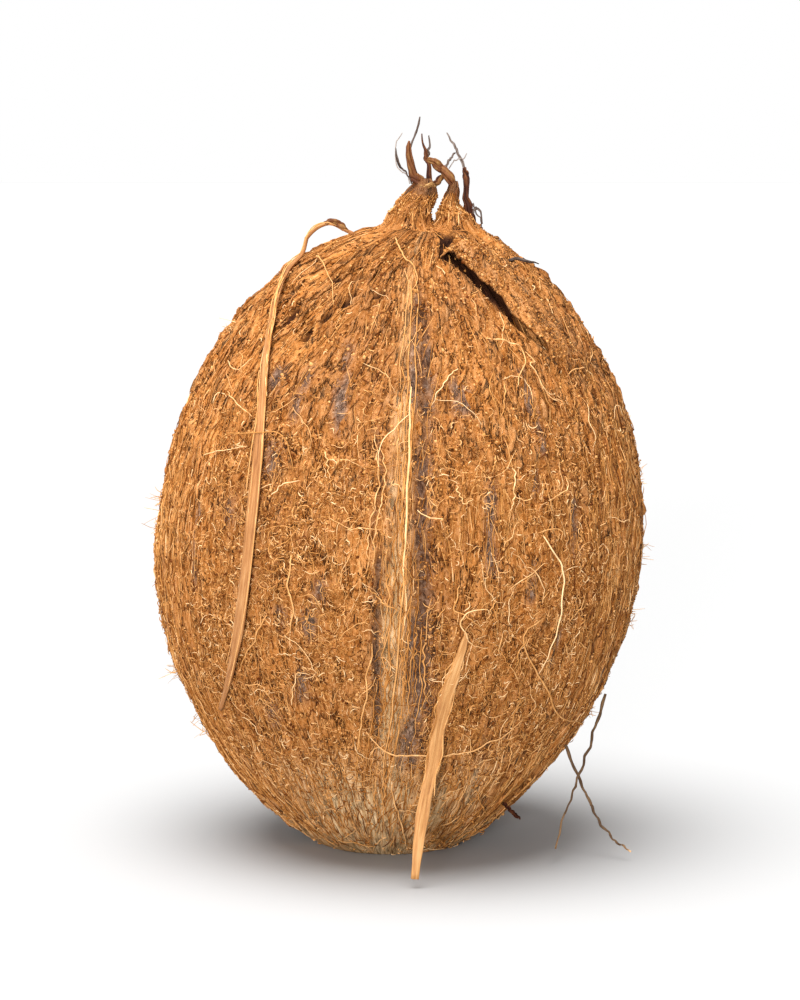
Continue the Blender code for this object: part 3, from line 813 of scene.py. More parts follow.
# %% Smooth curves and places
def smooth_curve(knots, count):
    """Catmull-Rom curve through rows of knots, read at count even steps of its length."""
    knots = np.asarray(knots, float)
    padded = np.concatenate([2 * knots[:1] - knots[1:2], knots, 2 * knots[-1:] - knots[-2:-1]])
    t = np.linspace(0.0, len(knots) - 1.0001, 16 * len(knots))
    span, f = t.astype(int), (t % 1.0)[:, None]
    a, b, c, d = (padded[span + offset] for offset in range(4))
    dense = 0.5 * (2 * b + (c - a) * f + (2 * a - 5 * b + 4 * c - d) * f ** 2 + (3 * b - a - 3 * c + d) * f ** 3)
    walked = np.concatenate([[0.0], np.cumsum(np.linalg.norm(np.diff(dense[:, :2], axis=0), axis=1))])
    even = np.linspace(0.0, walked[-1], count)
    return np.stack([np.interp(even, walked, column) for column in dense.T], axis=1)


def on_husk(azimuth, height, lift):
    """Point over the husk at an azimuth in degrees and a height in mm."""
    return husk_point(np.radians(azimuth), climb_at(height), lift)


# %% The loose flap
FLAP_ROOT = np.array([
    (28.0, 140.2), (37.0, 139.2), (46.0, 136.8), (54.0, 133.4), (60.0, 129.4), (64.0, 125.0),
    (66.0, 120.6), (66.0, 116.0), (63.0, 112.0), (57.0, 108.6),
])


def sheet_faces(columns, rows):
    """Corner numbers of a closed sheet: an upper and a lower grid of columns by rows, and the wall between."""
    number = np.arange(columns * rows).reshape(rows, columns)
    quads = np.stack([number[:-1, :-1], number[:-1, 1:], number[1:, 1:], number[1:, :-1]], axis=-1).reshape(-1, 4)
    rim = np.concatenate([number[0, :-1], number[:-1, -1], number[-1, :0:-1], number[:0:-1, 0]])
    after = np.roll(rim, -1)
    below = columns * rows
    return quads, quads[:, ::-1] + below, np.stack([after, rim, rim + below, after + below], axis=-1)


def sheet_cells(columns, rows):
    """UVs: the upper grid in the left half, the lower one in the right half, the wall as a strip on top."""
    u, v = np.meshgrid(np.arange(columns - 1) / (columns - 1.0), np.arange(rows - 1) / (rows - 1.0))
    u, v = 0.01 + 0.47 * u.ravel(), 0.01 + 0.9 * v.ravel()
    du, dv = 0.47 / (columns - 1), 0.9 / (rows - 1)
    upper = np.stack([u, v, u + du, v, u + du, v + dv, u, v + dv], axis=-1).reshape(-1, 4, 2)
    length = 2 * (columns + rows) - 4
    x, dx = 0.01 + 0.97 * np.arange(length) / length, 0.97 / length
    wall = np.stack([x + dx, 0 * x + 0.94, x, 0 * x + 0.94, x, 0 * x + 0.98, x + dx, 0 * x + 0.98], axis=-1)
    return [upper, upper[:, ::-1] + (0.5, 0.0), wall.reshape(-1, 4, 2)]


def make_flap(columns=150, rows=44, thickness=0.65, stand_off=2.1):
    """Sheet between the flap's free edge and its root: lift = stand off (1 - v)^1.4 - 0.5 v, edge torn by noise."""
    edge, root = smooth_curve(FLAP_EDGE, columns), smooth_curve(FLAP_ROOT, columns)
    along = np.linspace(0.0, 1.0, columns)
    torn = np.random.default_rng(50).uniform(-1.0, 1.0, (columns // 3, 2))
    torn = 0.022 * smooth_curve(torn, columns)[:, :1] + 0.014 * np.sin(23.0 * along + 7.0 * along ** 2)[:, None]
    v = np.linspace(0.0, 1.0, rows)[:, None, None]
    reach = v * (1.0 - torn[None]) + torn[None]
    place = edge[None] * (1.0 - reach) + root[None] * reach
    turn, climb = np.radians(place[..., 0]), climb_at(place[..., 1])
    ends = ease(0.0, 0.12, along) * (1.0 - ease(0.86, 1.0, along))
    cords = 0.16 * noise(turn, climb, 200, 5.0, 51) + 0.26 * noise(turn, climb, 420, 1.6, 52)
    lift = ends * stand_off * (1.0 - v[..., 0]) ** 1.4 + 0.55 * ends - 0.75 * ease(0.6, 1.0, v[..., 0]) - 0.35 * (1 - ends)
    upper = husk_point(turn, climb, lift + cords - 0.1 * flap_gap(turn, climb))
    lower = upper - (thickness * (0.6 + 0.4 * ends)[None, :, None]) * husk_normal(turn, climb)
    points = np.concatenate([upper.reshape(-1, 3), lower.reshape(-1, 3)])
    turn, climb = np.tile(turn.ravel(), 2), np.tile(climb.ravel(), 2)
    grain = np.stack([GIRTH_RADIUS * np.sin(turn), GIRTH_RADIUS * np.cos(turn), climb], axis=1)
    top = np.repeat([1.0, 0.0], columns * rows)
    # The lower sheet is darkened with painted shade, for the underside of the lifted flap.
    make_piece("husk_flap", points, sheet_faces(columns, rows), COIR_FELT, "coir_husk", sheet_cells(columns, rows),
               grain=grain, matted=top, pale=0.1 * top, shell=0.0 * top, gap=0.85 * (1.0 - top))
    return upper.reshape(-1, 3)


flap_top = make_flap()


def sow_on(name, places, count, seed, tone=0.32):
    """Crumbs of pith at random ones of the places (m, 3), a little aside from them."""
    rng = np.random.default_rng(seed)
    centres = places[rng.integers(0, len(places), count)] + rng.normal(0.0, 0.12, (count, 3))
    sizes = rng.uniform(0.5, 1.7, (count, 3)) * (0.14 + 0.3 * rng.beta(1.1, 3.4, (count, 1)))
    make_crumbs(name, centres, sizes, random_turns(rng, count), np.clip(rng.normal(tone, 0.2, count), 0.0, 0.65))


sow_on("flap_crumbs", flap_top, 2200, 54)

# %% [markdown]
# ### Flaking plates
# Each plate is a thin closed sheet, 2 to 6 mm long, laid along the nut. One long side is sunk in the husk and
# the other stands up to 0.8 mm off it, so every plate throws its own thin shadow, which paint could not do.

# %% Plates
PLATE_COLUMNS, PLATE_ROWS = 4, 6


def make_plates(name, count, seed, share, length_range, lift_range):
    """Many closed sheets at once: v runs along the plate, u across; width = (1 - |v|^2.4)^0.5, edge lifted by u."""
    rng = np.random.default_rng(seed)
    turn0, climb0 = scatter(rng, count, share, neck=138.0)
    found = len(turn0)
    u = np.linspace(-1.0, 1.0, PLATE_COLUMNS)[None, None, :]
    v = np.linspace(-1.0, 1.0, PLATE_ROWS)[None, :, None]
    length = rng.uniform(*length_range, (found, 1, 1))
    width = length * rng.uniform(0.2, 0.5, (found, 1, 1))
    jag = 1.0 + 0.4 * rng.uniform(-1.0, 1.0, (found, PLATE_ROWS, PLATE_COLUMNS))
    across = 0.5 * width * u * jag * np.sqrt(1.0 - 0.9 * np.abs(v) ** 2.4)
    lean = rng.normal(0.0, 0.22, (found, 1, 1)) + fibre_lean(turn0, climb0)[:, None, None]
    along = 0.5 * length * (v + 0.12 * rng.uniform(-1.0, 1.0, (found, 1, PLATE_COLUMNS)))
    east, north = across * np.cos(lean) + along * np.sin(lean), along * np.cos(lean) - across * np.sin(lean)
    climb = np.clip(climb0[:, None, None] + north, 1.0, TOP_CLIMB - 5.0)
    turn = turn0[:, None, None] + east / np.interp(climb, CLIMB, RADIUS)
    free_side = rng.choice([-1.0, 1.0], (found, 1, 1), p=[0.25, 0.75])
    raised = rng.uniform(*lift_range, (found, 1, 1)) * ease(-0.6, 1.0, u * free_side) * (1.0 - 0.5 * v ** 2)
    lift = raised + 0.12 * rng.uniform(-1.0, 1.0, jag.shape) + 0.02
    upper = husk_point(turn, climb, lift)
    lower = upper - 0.3 * husk_normal(turn, climb)
    points = np.concatenate([upper.reshape(found, -1, 3), lower.reshape(found, -1, 3)], axis=1)
    per_plate = 2 * PLATE_COLUMNS * PLATE_ROWS
    base = (per_plate * np.arange(found))[:, None, None]
    faces = [(base + part[None]).reshape(-1, 4) for part in sheet_faces(PLATE_COLUMNS, PLATE_ROWS)]
    across_sheet = int(np.ceil(np.sqrt(found)))
    corner = np.stack([np.arange(found) % across_sheet, np.arange(found) // across_sheet], axis=-1)[:, None, None]
    cells = [(corner + 0.03 + 0.94 * part[None]).reshape(-1, 4, 2) / across_sheet
             for part in sheet_cells(PLATE_COLUMNS, PLATE_ROWS)]
    both = [np.concatenate([value.reshape(found, -1)] * 2, axis=1).ravel() for value in (turn, climb)]
    grain = np.stack([GIRTH_RADIUS * np.sin(both[0]), GIRTH_RADIUS * np.cos(both[0]), both[1]], axis=1)
    tinge = np.repeat(rng.uniform(0.0, 0.1, found), per_plate)
    make_piece(name, points.reshape(-1, 3), faces, COIR_FELT, "coir_husk", cells,
               grain=grain + rng.normal(0.0, 1.0, (found, 3)).repeat(per_plate, axis=0), matted=0.75 + 0 * tinge,
               pale=tinge, shell=0 * tinge, gap=0 * tinge)


def shoulder_share(turn, climb):
    """Plates flake from the shoulders all round, and a few from the flanks."""
    height = height_at(climb)
    share = ease(84.0, 106.0, height) * (1.0 - 0.7 * ease(131.0, 137.0, height))
    return clear_seam(turn, climb) * np.clip(share + 0.04, 0.0, 1.0)


make_plates("shoulder_plates", 1250, 53, shoulder_share, (1.8, 6.0), (0.3, 0.9))

# %% [markdown]
# ## Straps and long fibres
# Some husk split off as flat straw-coloured straps, and long single fibres lie across the felt. Their routes
# are given as places on the husk, and the smooth curve that drew the flap carries them too.

# %% Facing away from the axis
def away_from_axis(points):
    """Level direction from the nut's axis to each point."""
    level = points - np.stack([axis_shift(points[..., 2]), 0 * points[..., 2], points[..., 2]], axis=-1)
    return level / (np.linalg.norm(level, axis=-1, keepdims=True) + 1e-9)


# %% [markdown]
# ### Flat straps
# Each strap is one closed band: a flat oval section with shallow ridges, carried along its route. The section
# has 20 sides, so the ridges and the frayed edge are real, and the finish only adds the finer streaks.

# %% Strap finish and maker
def split_straw(name, stops):
    """Dry husk straw: streaks along the grain, each 0.2 mm wide and 8 mm long, between four colours."""
    material, tree, shader = new_material(name, 0.6, 0.35)
    grain = add_node(tree, "ShaderNodeAttribute", output="Vector", attribute_name="grain")
    streaks, blotches = [
        add_node(tree, "ShaderNodeTexNoise", {
            "Vector": add_node(tree, "ShaderNodeMapping", {"Vector": grain, "Scale": cells_per_mm}, "Vector"),
            "Scale": 1.0, "Detail": 5.0, "Roughness": 0.6, "Distortion": 0.2}, "Fac")
        for cells_per_mm in ((2.6, 0.12, 1.0), (0.4, 0.1, 1.0))]
    faint = add_node(tree, "ShaderNodeMath", {0: blotches, 1: 0.5}, 0, operation="MULTIPLY")
    value = add_node(tree, "ShaderNodeMath", {0: streaks, 1: 0.8, 2: faint}, 0, operation="MULTIPLY_ADD")
    colour = add_node(tree, "ShaderNodeValToRGB", {"Fac": value}, 0, stops)
    bump = add_node(tree, "ShaderNodeBump", {"Height": streaks, "Strength": 0.8, "Distance": 0.25 * MM}, "Normal")
    tree.links.new(colour, shader.inputs["Base Color"])
    tree.links.new(bump, shader.inputs["Normal"])
    return material


STRAW = split_straw("dry_split_husk_straw", [
    (0.42, "#7d4a1f"), (0.56, "#aa733e"), (0.68, "#bd874e"), (0.85, "#d5a46c"),
])
# The left strap's straw is a darker copy of the same straw: painted shade on that strap.
SHADED_STRAW = split_straw("shaded_split_husk_straw", [
    (0.42, "#693b18"), (0.56, "#955f31"), (0.68, "#a8713f"), (0.85, "#c08e5b"),
])


def make_band(name, path, outward, half_width, thickness, material, slot, sides=20, ridges=5, seed=0):
    """Closed band: ring = path + width |cos a|^0.7 side + thickness |sin a|^0.8 up, swollen by ridges and noise."""
    rng = np.random.default_rng(seed)
    side, up = frames_along(path, outward)
    angle = (np.arange(sides) + 0.5) * 2.0 * np.pi / sides
    rings = len(path)
    wander = np.cumsum(rng.normal(0.0, 0.12, rings))[:, None]
    fray = 1.0 + 0.14 * smooth_curve(rng.uniform(-1.0, 1.0, (rings // 3 + 3, 2)), rings)[:, :1]
    ridge = 1.0 + 0.22 * np.cos(ridges * angle[None] + wander) + 0.1 * rng.uniform(-1, 1, (1, sides))
    x = half_width[:, None] * fray * np.sign(np.cos(angle)) * np.abs(np.cos(angle)) ** 0.7
    y = thickness[:, None] * ridge * np.sign(np.sin(angle)) * np.abs(np.sin(angle)) ** 0.8
    points = path[:, None] + x[..., None] * side[:, None] + y[..., None] * up[:, None]
    walked = np.concatenate([[0.0], np.cumsum(np.linalg.norm(np.diff(path, axis=0), axis=1))])
    grain = np.stack([x, np.broadcast_to(walked[:, None], x.shape), y], axis=-1)
    return make_piece(name, points.reshape(-1, 3), tube_faces(1, rings, sides), material, slot,
                      tube_cells(1, rings, sides), grain=grain.reshape(-1, 3))


# %% The left strap and the front strap
LYING = 1.05
STRAP_LOOP = [
    (-7.8, -8.0, 139.6, 0.5), (-10.0, -8.0, 140.6, 0.6), (-12.6, -8.0, 141.8, 0.55), (-15.8, -8.0, 141.2, 0.5),
    (-18.6, -8.2, 138.4, 0.5), (-19.3, -8.8, 135.4, 0.7),
]
STRAP_LEFT = [
    (-65.0, 130.4, 1.1, 0.6), (-54.5, 124.6, 1.5, 0.4), (-45.6, 115.2, 1.9, 0.0), (-39.6, 104.4, 2.2, 0.0),
    (-36.6, 93.0, 2.6, 0.0), (-35.6, 80.0, 2.6, 0.0), (-36.5, 66.0, 2.6, 0.0), (-39.6, 54.0, 2.2, 0.0),
    (-44.8, 44.2, 1.6, 0.0), (-51.6, 36.8, 0.8, 0.0),
]
STRAP_FRONT_ON_HUSK = [
    (15.4, 57.6, 0.8, 0.0), (14.4, 52.8, 1.9, 0.0), (12.6, 45.4, 2.7, 0.0), (11.4, 37.2, 3.0, 0.1),
]
STRAP_FRONT_FREE = [
    (9.6, -47.0, 28.0, 2.8), (7.8, -47.4, 19.4, 2.6), (6.6, -47.6, 11.4, 2.2), (5.6, -47.8, 2.2, 1.5),
]


def laid_knots(knots):
    """Rows of x, y, z and width from azimuth, height, width and extra lift over a strap that lies on the husk."""
    azimuth, height, width, extra = np.array(knots).T
    return np.column_stack([on_husk(azimuth, height, LYING - relief(np.radians(azimuth), climb_at(height)) + extra),
                            width])


def make_strap(name, knots, replaced, straw, seed, thickness=0.42):
    """A strap through knots of x, y, z and width in mm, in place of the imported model's plain one."""
    route = smooth_curve(knots, 110)
    path = route[:, :3]
    band = make_band(name, path, away_from_axis(path), 0.55 * route[:, 3], np.full(len(path), thickness),
                     straw, "fibre_strap", seed=seed)
    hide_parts(replaced)
    return band


strap_left = make_strap("husk_strap_left", np.concatenate([STRAP_LOOP, laid_knots(STRAP_LEFT)]),
                        "strap_left", SHADED_STRAW, 41)
strap_front = make_strap("husk_strap_front", np.concatenate([laid_knots(STRAP_FRONT_ON_HUSK), STRAP_FRONT_FREE]),
                         "strap_front", STRAW, 42)


def fray_strap(name, knots, strays, seed):
    """Fibres that keep to a strap for a stretch and stray from its edge by up to 0.6 mm."""
    rng = np.random.default_rng(seed)
    route = smooth_curve(knots, 160)
    side, up = frames_along(route[:, :3], away_from_axis(route[:, :3]))
    paths, radii = [], []
    for number in range(strays):
        start = rng.integers(0, 110)
        part = slice(start, start + rng.integers(24, 50))
        aside = smooth_curve(rng.normal(0.0, 0.3, (6, 3)), 30)
        edge = np.array([rng.choice([-0.5, 0.5]) * 1.05, rng.uniform(0.0, 0.5)])
        stretch = smooth_curve(route[part][::3], 30)
        sides, ups = smooth_curve(side[part][::3], 30), smooth_curve(up[part][::3], 30)
        paths.append(stretch[:, :3] + (edge[0] * stretch[:, 3:4] + aside[:, :1]) * sides
                     + (edge[1] + 0.5 * aside[:, 1:2]) * ups)
        radii.append(rng.uniform(0.09, 0.17) * taper(30, 0.5))
    paths = np.array(paths)
    make_tubes(name, paths, away_from_axis(paths), np.array(radii), COIR_FIBRE, "fibre_strap",
               sides=5, tone=np.clip(rng.normal(0.68, 0.12, strays), 0, 1))


fray_strap("strap_left_fray", np.concatenate([STRAP_LOOP, laid_knots(STRAP_LEFT)]), 26, 47)
fray_strap("strap_front_fray", np.concatenate([laid_knots(STRAP_FRONT_ON_HUSK), STRAP_FRONT_FREE]), 12, 48)

# %% [markdown]
# ### Stray fibres
# Two wiry fibres hang free under the right side. They have weathered grey-brown, thick where they leave the
# husk and thin at the tip, with the small kinks of a dried stalk.

# %% Stray fibres
WIRY_COIR = coir_fibre("weathered_wiry_coir", [
    (0.0, "#2c1d12"), (0.35, "#57412d"), (0.7, "#8a6a48"), (1.0, "#e6b98a"),
], roughness=0.55)
STRAY_UPPER = [
    (49.0, -9.0, 35.4), (47.2, -12.0, 30.2), (43.5, -18.0, 21.0), (40.1, -22.6, 13.0), (37.1, -26.0, 3.6),
]
STRAY_LOWER = [
    (39.7, -14.2, 24.8), (41.6, -15.0, 20.0), (43.8, -15.8, 15.4), (46.4, -17.4, 9.6), (50.0, -20.0, 4.8),
    (54.2, -23.0, 2.2),
]


def make_stray(name, knots, replaced, pale_tip, seed):
    """A wiry tube of 8 sides with seeded kinks of 0.15 mm, thinning from 0.36 to 0.2 mm, paler to its tip."""
    rng = np.random.default_rng(seed)
    path = smooth_curve(knots, 90)
    path += smooth_curve(rng.normal(0.0, 0.16, (30, 3)), 90) * np.sin(np.linspace(0, np.pi, 90))[:, None] ** 0.3
    s = np.linspace(0.0, 1.0, 90)
    radius = (0.36 - 0.16 * s) * (1.0 + 0.2 * smooth_curve(rng.uniform(-1, 1, (34, 2)), 90)[:, 0])
    tone = 0.35 + 0.12 * smooth_curve(rng.uniform(-1, 1, (20, 2)), 90)[:, 0] + pale_tip * ease(0.8, 1.0, s)
    stray = make_tubes(name, path[None], np.broadcast_to(away_from_axis(path), path.shape)[None], radius[None],
                       WIRY_COIR, "stray_fibre", sides=8, tone=np.clip(tone, 0.0, 1.0)[None])
    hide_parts(replaced)
    return path[-1]


make_stray("wiry_fibre_upper", STRAY_UPPER, "stray_fibre_upper", 0.25, 43)
lower_tip = make_stray("wiry_fibre_lower", STRAY_LOWER, "stray_fibre_lower", 0.5, 44)

# %% [markdown]
# ### Long fibres across the felt
# These are the fibres that catch the eye one by one. Each has a thickness and a lift in mm, and a route.

# %% Long fibre routes
LONG_FIBRES = [
    (0.30, 0.9, [(-21.5, 138.5), (-11, 136.5), (1.8, 132.5), (3.2, 129.5), (1.1, 128)]),
    (0.22, 1.0, [(-70, 135), (-50.5, 133.5), (-36.5, 130.5), (-32, 128.5), (-29.5, 126), (-27.5, 124)]),
    (0.20, 0.8, [(-66.5, 112.5), (-58.5, 111), (-56, 111.5), (-53, 114)]),
    (0.20, 0.8, [(-57.5, 106.5), (-51, 104.5), (-46, 103), (-41, 101.5)]),
    (0.24, 1.5, [(-53, 96), (-49, 97.5), (-43.5, 98), (-37.5, 98.5), (-33.5, 99), (-30.5, 98), (-28.5, 96), (-27, 91)]),
    (0.18, 1.0, [(-58, 92), (-52.5, 93.5), (-46.5, 94.5), (-41, 96)]),
    (0.20, 0.8, [(-19.5, 96), (-18, 93), (-17, 90)]),
    (0.20, 0.8, [(-32, 86), (-29, 88.5), (-25, 89.5)]),
    (0.30, 1.0, [(-25, 74.5), (-25, 71), (-25, 66.5), (-24, 63.5), (-24.5, 58), (-26.5, 56), (-26, 54)]),
    (0.20, 0.8, [(-34, 69), (-32, 70.5), (-29, 70), (-26.5, 71.5)]),
    (0.18, 0.8, [(-34.5, 67.5), (-31, 66), (-27.5, 67.5)]),
    (0.22, 1.0, [(-7, 67.5), (-4.1, 65), (0.2, 63)]),
    (0.20, 0.7, [(-12, 63), (-11.6, 61), (-12, 59.5)]),
    (0.28, 1.4, [(33.5, 77.5), (36, 74), (39, 70), (39.5, 66), (39, 59), (38.5, 53.5), (37, 45.5)]),
    (0.28, 1.4, [(36, 60), (33, 58.5), (30, 56.5), (31.5, 51.5), (37, 45.5), (43, 39.5), (48, 36), (56, 33), (80, 28)]),
    (0.26, 0.9, [(26.5, 92), (26, 87.5), (25, 83)]),
    (0.26, 0.8, [(22, 95), (21.6, 93), (20.5, 91)]),
    (0.22, 0.8, [(12, 89), (13, 86), (14, 85), (16, 86)]),
    (0.20, 0.8, [(3.4, 84), (5.8, 82.5), (9.3, 82)]),
    (0.26, 1.2, [(13.5, 68), (12, 63.5), (14.5, 61.5), (19.5, 58)]),
    (0.24, 1.6, [(18, 54), (15.5, 57), (13.5, 60.5), (16, 62.5), (20, 62.5), (20.6, 60)]),
    (0.20, 0.9, [(21.5, 64.5), (20.6, 61.5), (20, 58.5)]),
    (0.20, 0.9, [(41.5, 89.5), (41.5, 87), (37, 85), (35.5, 84.5)]),
    (0.18, 0.8, [(26.5, 86), (29, 85), (31.5, 86.5)]),
    (0.20, 0.9, [(32.5, 78), (35, 78.5), (38, 78), (39.5, 74)]),
    (0.20, 0.9, [(27.5, 73.5), (29.4, 71.5), (30.5, 70.5), (31, 72), (31.5, 74)]),
    (0.28, 1.3, [(-7.2, 35.5), (-5.2, 33), (-2.4, 31.5), (2.8, 30.5), (9, 30), (16.5, 29.5), (21.5, 30), (26, 31.5),
                 (31, 32.5), (36.5, 36.5)]),
    (0.26, 1.0, [(30.5, 18), (34.5, 15), (39.5, 12.5), (44.5, 10.5)]),
    (0.22, 0.9, [(22.5, 54.5), (26, 51), (28, 48)]),
    (0.20, 0.8, [(35.5, 30), (37, 26), (40, 21.5)]),
    (0.18, 0.9, [(29.5, 27.5), (33.5, 25.5), (37, 24.5)]),
    (0.18, 0.8, [(-40.5, 43.5), (-36, 44), (-33, 43.5)]),
    (0.18, 0.8, [(-26.5, 40), (-24, 47.5), (-20.5, 47.5)]),
    (0.26, 1.0, [(-0.2, 23), (1.1, 18.5), (4.6, 11), (8.2, 5), (12.5, 3.4)]),
    (0.26, 1.0, [(25, 118.5), (33, 117), (36, 115.5), (33.5, 111.5), (30.5, 107.5)]),
    (0.22, 1.2, [(37.5, 115.5), (38.5, 113), (36.5, 112.5), (38.5, 109.5), (41.5, 106), (47.5, 104)]),
    (0.24, 1.1, [(24, 111.5), (22, 107.5), (24, 104), (24, 100.5)]),
    (0.24, 1.1, [(27.5, 110), (25.5, 105), (24.5, 101.5)]),
    (0.20, 1.0, [(20, 110.5), (19, 108.5), (16, 105.5), (18, 104.5)]),
    (0.20, 0.9, [(15, 113), (10.5, 110), (6.6, 105.5)]),
    (0.20, 0.9, [(34.5, 106), (34.5, 101.5), (35, 99.5)]),
    (0.20, 0.9, [(53, 110), (56, 111), (64.5, 111)]),
    (0.30, 0.5, [(-30.5, 61.5), (-35, 55), (-38, 51), (-43, 45)]),
]


def lay_fibres(name, routes, steps=36, sides=6, tone=(0.62, 0.14), seed=45):
    """Tubes over routes of azimuth and height: sunk at both ends, lifted between them by lift sin(pi s)^0.5."""
    rng = np.random.default_rng(seed)
    s = np.linspace(0.0, 1.0, steps)
    paths, radii = [], []
    for thickness, lift, knots in routes:
        scaled = smooth_curve([(azimuth * GIRTH_RADIUS * np.pi / 180.0, height) for azimuth, height in knots], steps)
        turn, climb = scaled[:, 0] / GIRTH_RADIUS, climb_at(scaled[:, 1])
        waver = smooth_curve(rng.normal(0.0, 0.22, (steps // 2, 2)), steps)
        rise = lift * np.sqrt(np.sin(np.pi * s)) - 0.1 + 0.4 * waver[:, 0] * np.sin(np.pi * s)
        paths.append(husk_point(turn + waver[:, 1] / GIRTH_RADIUS, climb, np.maximum(rise, -0.1)))
        radii.append(0.5 * thickness * (1.25 - 0.5 * s) * (1.0 + 0.15 * waver[:, 0]) * taper(steps, 0.5))
    paths = np.array(paths)
    tones = np.clip(rng.normal(*tone, len(paths)), 0.0, 1.0)
    make_tubes(name, paths, away_from_axis(paths), np.array(radii), COIR_FIBRE, "coir_husk", sides=sides, tone=tones)


lay_fibres("long_coir_fibres", [(1.2 * thickness, lift, knots) for thickness, lift, knots in LONG_FIBRES])

# %% [markdown]
# ### The seam
# Straight pale fibres run side by side down the seam. They spread a little towards the foot, and a crooked
# pair of them edges the crack on the left.

# %% Seam fibres
SEAM_LINE = [(139.0, -3.0), (129.0, 2.6), (117.0, 1.4), (76.0, 0.7), (65.0, 1.3), (42.0, 0.6), (30.0, -1.0), (18.0, -2.4)]


def seam_route(offset, top, bottom, spread, rng):
    """A run of the seam line between two heights, moved aside by offset degrees, wider towards the foot."""
    heights = np.linspace(top, bottom, 9)
    line = np.array(SEAM_LINE[::-1])
    middle = np.interp(heights, line[:, 0], line[:, 1])
    aside = offset * (1.0 + spread * (1.0 - ease(20.0, 80.0, heights)))
    return list(zip(middle + aside + rng.normal(0.0, 0.12, len(heights)), heights))


def lay_seam(name, centre, seed):
    """Long cords, then short and long fibres beside them, all turned round the nut to the centre's azimuth."""
    rng = np.random.default_rng(seed)
    routes = [(0.5, 0.5, seam_route(0.1, 109.0, 54.0, 0.3, rng)), (0.28, 0.3, seam_route(-1.0, 132.0, 70.0, 0.3, rng)),
              (0.28, 0.3, seam_route(0.9, 134.0, 84.0, 0.2, rng)), (0.4, 0.6, seam_route(-0.7, 78.0, 18.0, 0.6, rng))]
    for number in range(70):
        low = 12.0 + 100.0 * rng.beta(1.0, 2.2)
        high = low + rng.uniform(8.0, 34.0)
        offset = rng.normal(-0.9, 1.2 if low > 50.0 else 2.1)
        routes.append((rng.uniform(0.14, 0.38), rng.uniform(0.2, 0.6),
                       seam_route(offset, min(high, 138.0), low, 0.6, rng)))
    turned = [(thickness, lift, [(azimuth + centre, height) for azimuth, height in route])
              for thickness, lift, route in routes]
    lay_fibres(name + "_fibres", turned, steps=34, sides=5, tone=(0.46, 0.12), seed=seed + 1)
    crack = np.linspace(73.0, 101.0, 15)
    pair = [(0.3, 0.35, list(zip(seam_crack(climb_at(crack)) + aside + centre, crack))) for aside in (-0.75, 0.75)]
    lay_fibres(name + "_crack_edges", pair, steps=60, sides=5, tone=(0.75, 0.05), seed=seed + 2)


for number, name in enumerate(("front_seam", "right_seam", "left_seam")):
    lay_seam(name, (0.0, 120.0, -120.0)[number], 46 + 10 * number)

# %% [markdown]
# ### Fuzz on the outline
# Here and there a tuft of broken fibres stands straight off the husk, pale against the background.

# %% Fuzz tufts
FUZZ_PLACES = [
    (-82.0, 118.0, 2.2), (-88.0, 78.0, 2.4), (-92.0, 72.0, 1.6), (-84.0, 40.0, 2.6), (-76.0, 29.0, 2.0),
    (96.0, 66.0, 1.8), (86.0, 84.0, 1.5), (90.0, 52.0, 1.6), (-96.0, 58.0, 1.5), (150.0, 60.0, 2.2),
    (-140.0, 84.0, 2.2), (178.0, 110.0, 1.8), (120.0, 36.0, 2.0), (-120.0, 44.0, 2.2), (84.0, 30.0, 1.6),
]


def grow_fuzz(per_tuft, seed):
    """Tufts at azimuth, height and length in mm: curved fibres from one spot, leaning apart by up to 50 degrees."""
    rng = np.random.default_rng(seed)
    azimuth, height, length = np.repeat(np.array(FUZZ_PLACES), per_tuft, axis=0).T
    count = len(azimuth)
    turn = np.radians(azimuth) + rng.normal(0.0, 0.02, count)
    climb = climb_at(height) + rng.normal(0.0, 1.2, count)
    root, out = husk_point(turn, climb, -0.2), husk_normal(turn, climb)
    lean = rng.normal(0.0, 0.55, (count, 3))
    s = np.linspace(0.0, 1.0, 8)[None, :, None]
    reach = (length * rng.uniform(0.4, 1.3, count))[:, None, None]
    paths = root[:, None] + reach * (out[:, None] * s + lean[:, None] * s ** 2 + 0.25 * lean[::-1, None] * np.sin(4 * s))
    radius = rng.uniform(0.05, 0.1, (count, 1)) * taper(8, 0.5)
    make_tubes("outline_fuzz", paths, np.broadcast_to(out[:, None], paths.shape) + 0.01, radius, COIR_FIBRE,
               "coir_husk", tone=np.clip(rng.normal(0.7, 0.15, count), 0, 1))


grow_fuzz(16, 49)

# %% [markdown]
# ## The tuft
# The husk of the neck was twisted and torn when the nut was pulled from its stalk. Three fluted lobes rise out
# of the shoulders and end in dark, wiry strands. A lobe could be its own cone stuck on top, but it would show a
# ring where it meets the nut, so its foot is drawn onto the husk itself: the lowest rings are points of the
# husk round the lobe, and they blend into the free rings over the first few mm.

